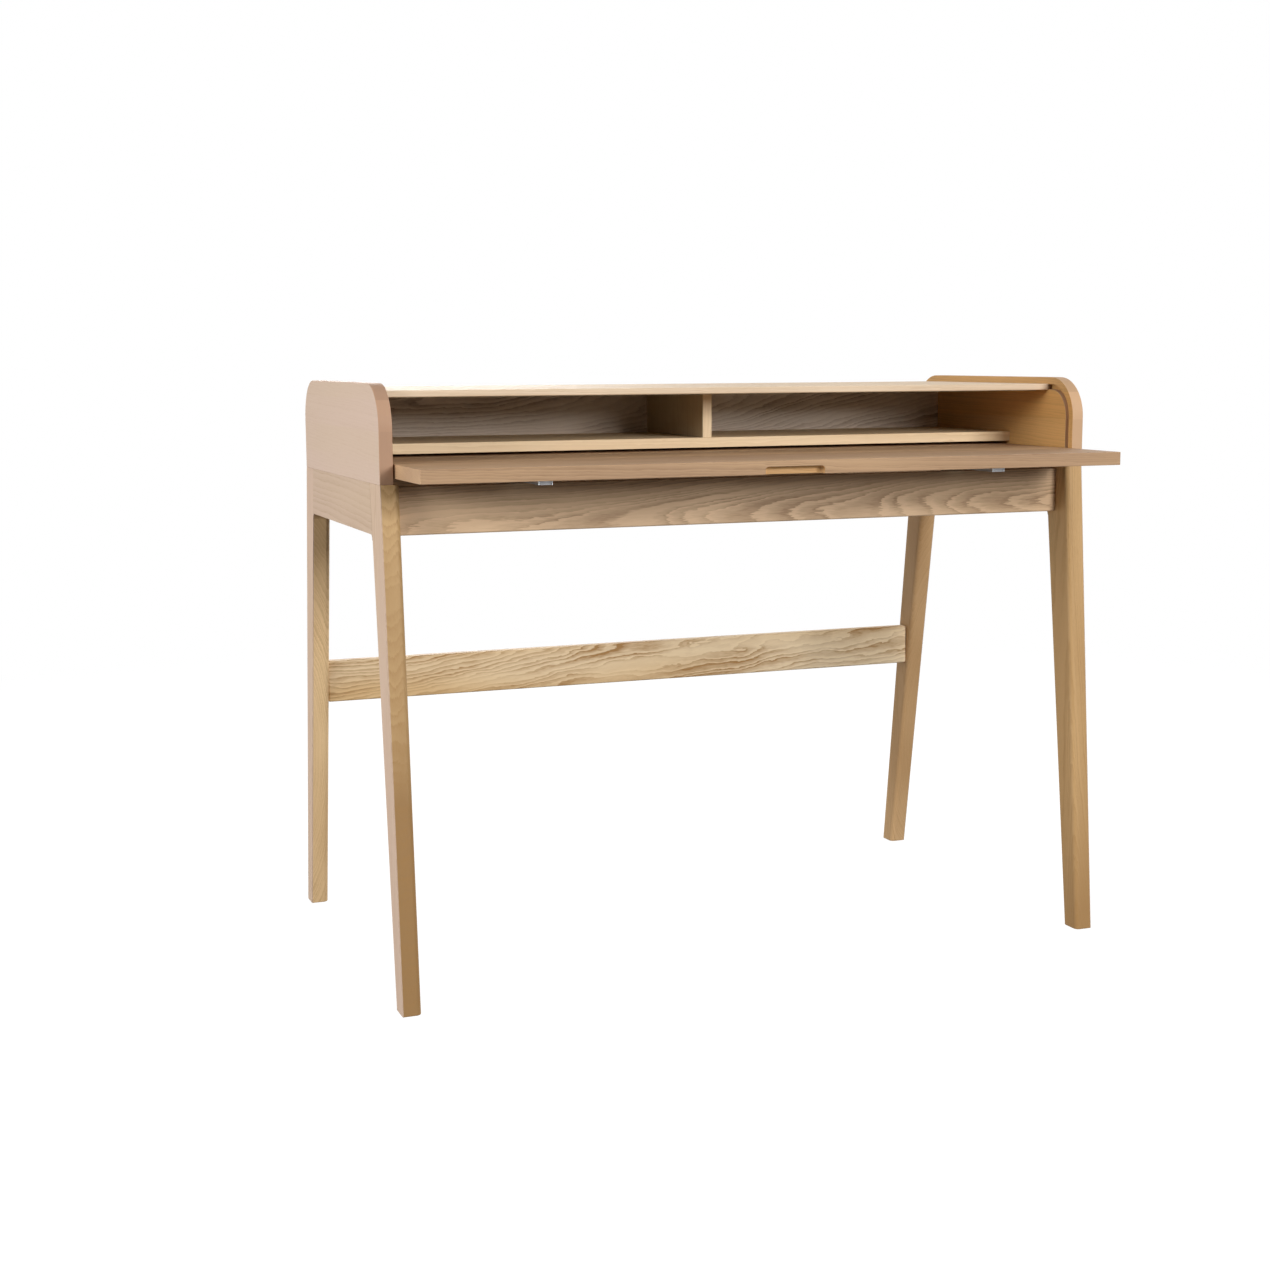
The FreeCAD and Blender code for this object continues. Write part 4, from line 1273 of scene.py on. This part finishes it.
@dataclass
class Studio:
    """Pale floor, soft light and the camera."""

    camera_at: Triple = (-1.1579, -2.7128, 0.8856)
    heading: float = 21.25           # degrees that the camera turns from +Y towards +X
    dip: float = 8.30                # degrees below the horizon
    roll: float = -0.21
    focal_pixels: float = 1916.4     # focal length in pixels of the frame
    frame_pixels: float = 1270.0
    sensor: float = 36.0             # millimetres
    floor_size: float = 60.0
    ambient: float = 0.09
    white: str = "#ffffff"
    floor_paint: str = "#f4f4f4"
    floor_bounce: str = "#545251"    # the floor as the desk's underside sees it
    near_share: float = 0.84         # how much of the floor near the desk glows, unshadowed
    near_glow: float = 1.13
    shadow_reach: tuple[float, float] = (1.0, 3.0)

    def build(self) -> None:
        """Set the stage."""
        self.floor()
        self.world()
        for name, place, size, power in LAMPS:
            self.lamp(name, place, size, power)
        self.camera()
        bpy.context.scene.view_settings.view_transform = "Standard"

    def camera(self) -> None:
        """Place the camera."""
        lens = bpy.data.cameras.new("camera")
        lens.sensor_width = self.sensor
        lens.lens = self.focal_pixels / self.frame_pixels * lens.sensor_width
        eye = new_object("camera", lens)
        yaw, pitch = math.radians(self.heading), math.radians(self.dip)
        ahead = Vector((math.sin(yaw) * math.cos(pitch), math.cos(yaw) * math.cos(pitch),
                        -math.sin(pitch)))
        right = Vector((math.cos(yaw), -math.sin(yaw), 0.0))
        up = right.cross(ahead)
        level = Matrix((right, up, -ahead)).transposed()
        tilt = Matrix.Rotation(math.radians(self.roll), 3, "Z")
        eye.matrix_world = Matrix.Translation(self.camera_at) @ (level @ tilt).to_4x4()
        bpy.context.scene.camera = eye

    def lamp(self, name: str, place: Triple, size: tuple[float, float], power: float) -> None:
        """Hang a soft white lamp that faces the desk.

        Args:
            name: the lamp's name.
            place: where it hangs.
            size: width and height of the lamp in metres.
            power: its power in watts.
        """
        light = bpy.data.lights.new(name, "AREA")
        light.shape = "RECTANGLE"
        light.size, light.size_y = size
        light.energy = power
        lamp = new_object(name, light)
        lamp.location = place
        aim = Vector(LAMP_AIM) - Vector(place)
        lamp.rotation_euler = aim.to_track_quat("-Z", "Y").to_euler()

    def world(self) -> None:
        """White to the eye and in reflections, and a softer even light on the desk."""
        world = bpy.data.worlds.new("studio")
        bpy.context.scene.world = world
        world.use_nodes = True
        tree = world.node_tree
        tree.nodes.clear()
        strength = add(tree, "MapRange",
                       {"Value": seen_rays(tree)[1], "To Min": self.ambient, "To Max": 1.0})
        sky = add(tree, "Background", {"Strength": strength, "Color": linear(self.white)})
        add(tree, "OutputWorld", {"Surface": sky})

    def floor(self) -> None:
        """A plain white floor that keeps a faint shadow."""
        shape = bmesh.new()
        bmesh.ops.create_grid(shape, x_segments=1, y_segments=1, size=self.floor_size / 2)
        made, tree = blank("white_floor")
        camera_ray, seen = seen_rays(tree)
        colour = add(tree, "Mix",
                     {0: camera_ray, COLOUR_A: linear(self.floor_bounce),
                      COLOUR_B: linear(self.floor_paint)}, data_type="RGBA")
        matt = add(tree, "BsdfDiffuse", {"Color": colour.outputs[COLOUR_OUT]})
        place = add(tree, "TexCoord").outputs["Object"]
        away = add(tree, "VectorMath", {0: place}, operation="LENGTH")
        ring = {"Value": away.outputs["Value"], "From Min": self.shadow_reach[0],
                "From Max": self.shadow_reach[1], "To Max": 1.0}
        level, near = [add(tree, "MapRange", {**ring, "To Min": at_desk},
                           interpolation_type="SMOOTHSTEP")
                       for at_desk in (self.near_glow, self.near_share)]
        glow = add(tree, "Emission", {"Strength": level, "Color": linear(self.white)})
        share = add(tree, "Math", {0: seen, 1: near}, operation="MULTIPLY")
        both = add(tree, "MixShader", {0: share, 1: matt, 2: glow})
        add(tree, "OutputMaterial", {"Surface": both})
        floor = shaped("floor", shape)
        coat(floor.data, made)


def main() -> None:
    """Build the desk's looks in order."""
    logging.basicConfig(level=logging.INFO, format="%(message)s")
    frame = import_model()
    desk = Desk(frame)
    left = LegFrame("left", 3, fall=-0.6, pale="#f3ce98", flush="#a07b4d", pith=(50.0, 5.0),
                    back_fall=0.0, back_pale="#efce9e", back_flush="#e2bf8f")
    # The right back leg browns towards its top: painted shade under the apron and worktop.
    right = LegFrame("right", 4, fall=-0.6, pale="#d2ab77", flush="#a98252", pith=(10.0, 70.0),
                     back_fall=0.6, back_pale="#dab384", back_flush="#b38c60")
    for assembly in (left, right, CrossRails(), Case()):
        for board in assembly.boards():
            board.build(desk)
    WritingSurface().build(desk)
    BallRunners().build(desk)
    Tambour().build(desk)
    beech = Oak(pale="#d9b98c", dark="#c29d6c", contrast=0.3)
    for node in sorted(n for n in desk.nodes if n.endswith("_tenons")):
        coat(desk.nodes[node].data, beech.material(node + "_beech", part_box(node), Grain.ACROSS))
    Studio().build()


if __name__ == "__main__":
    main()
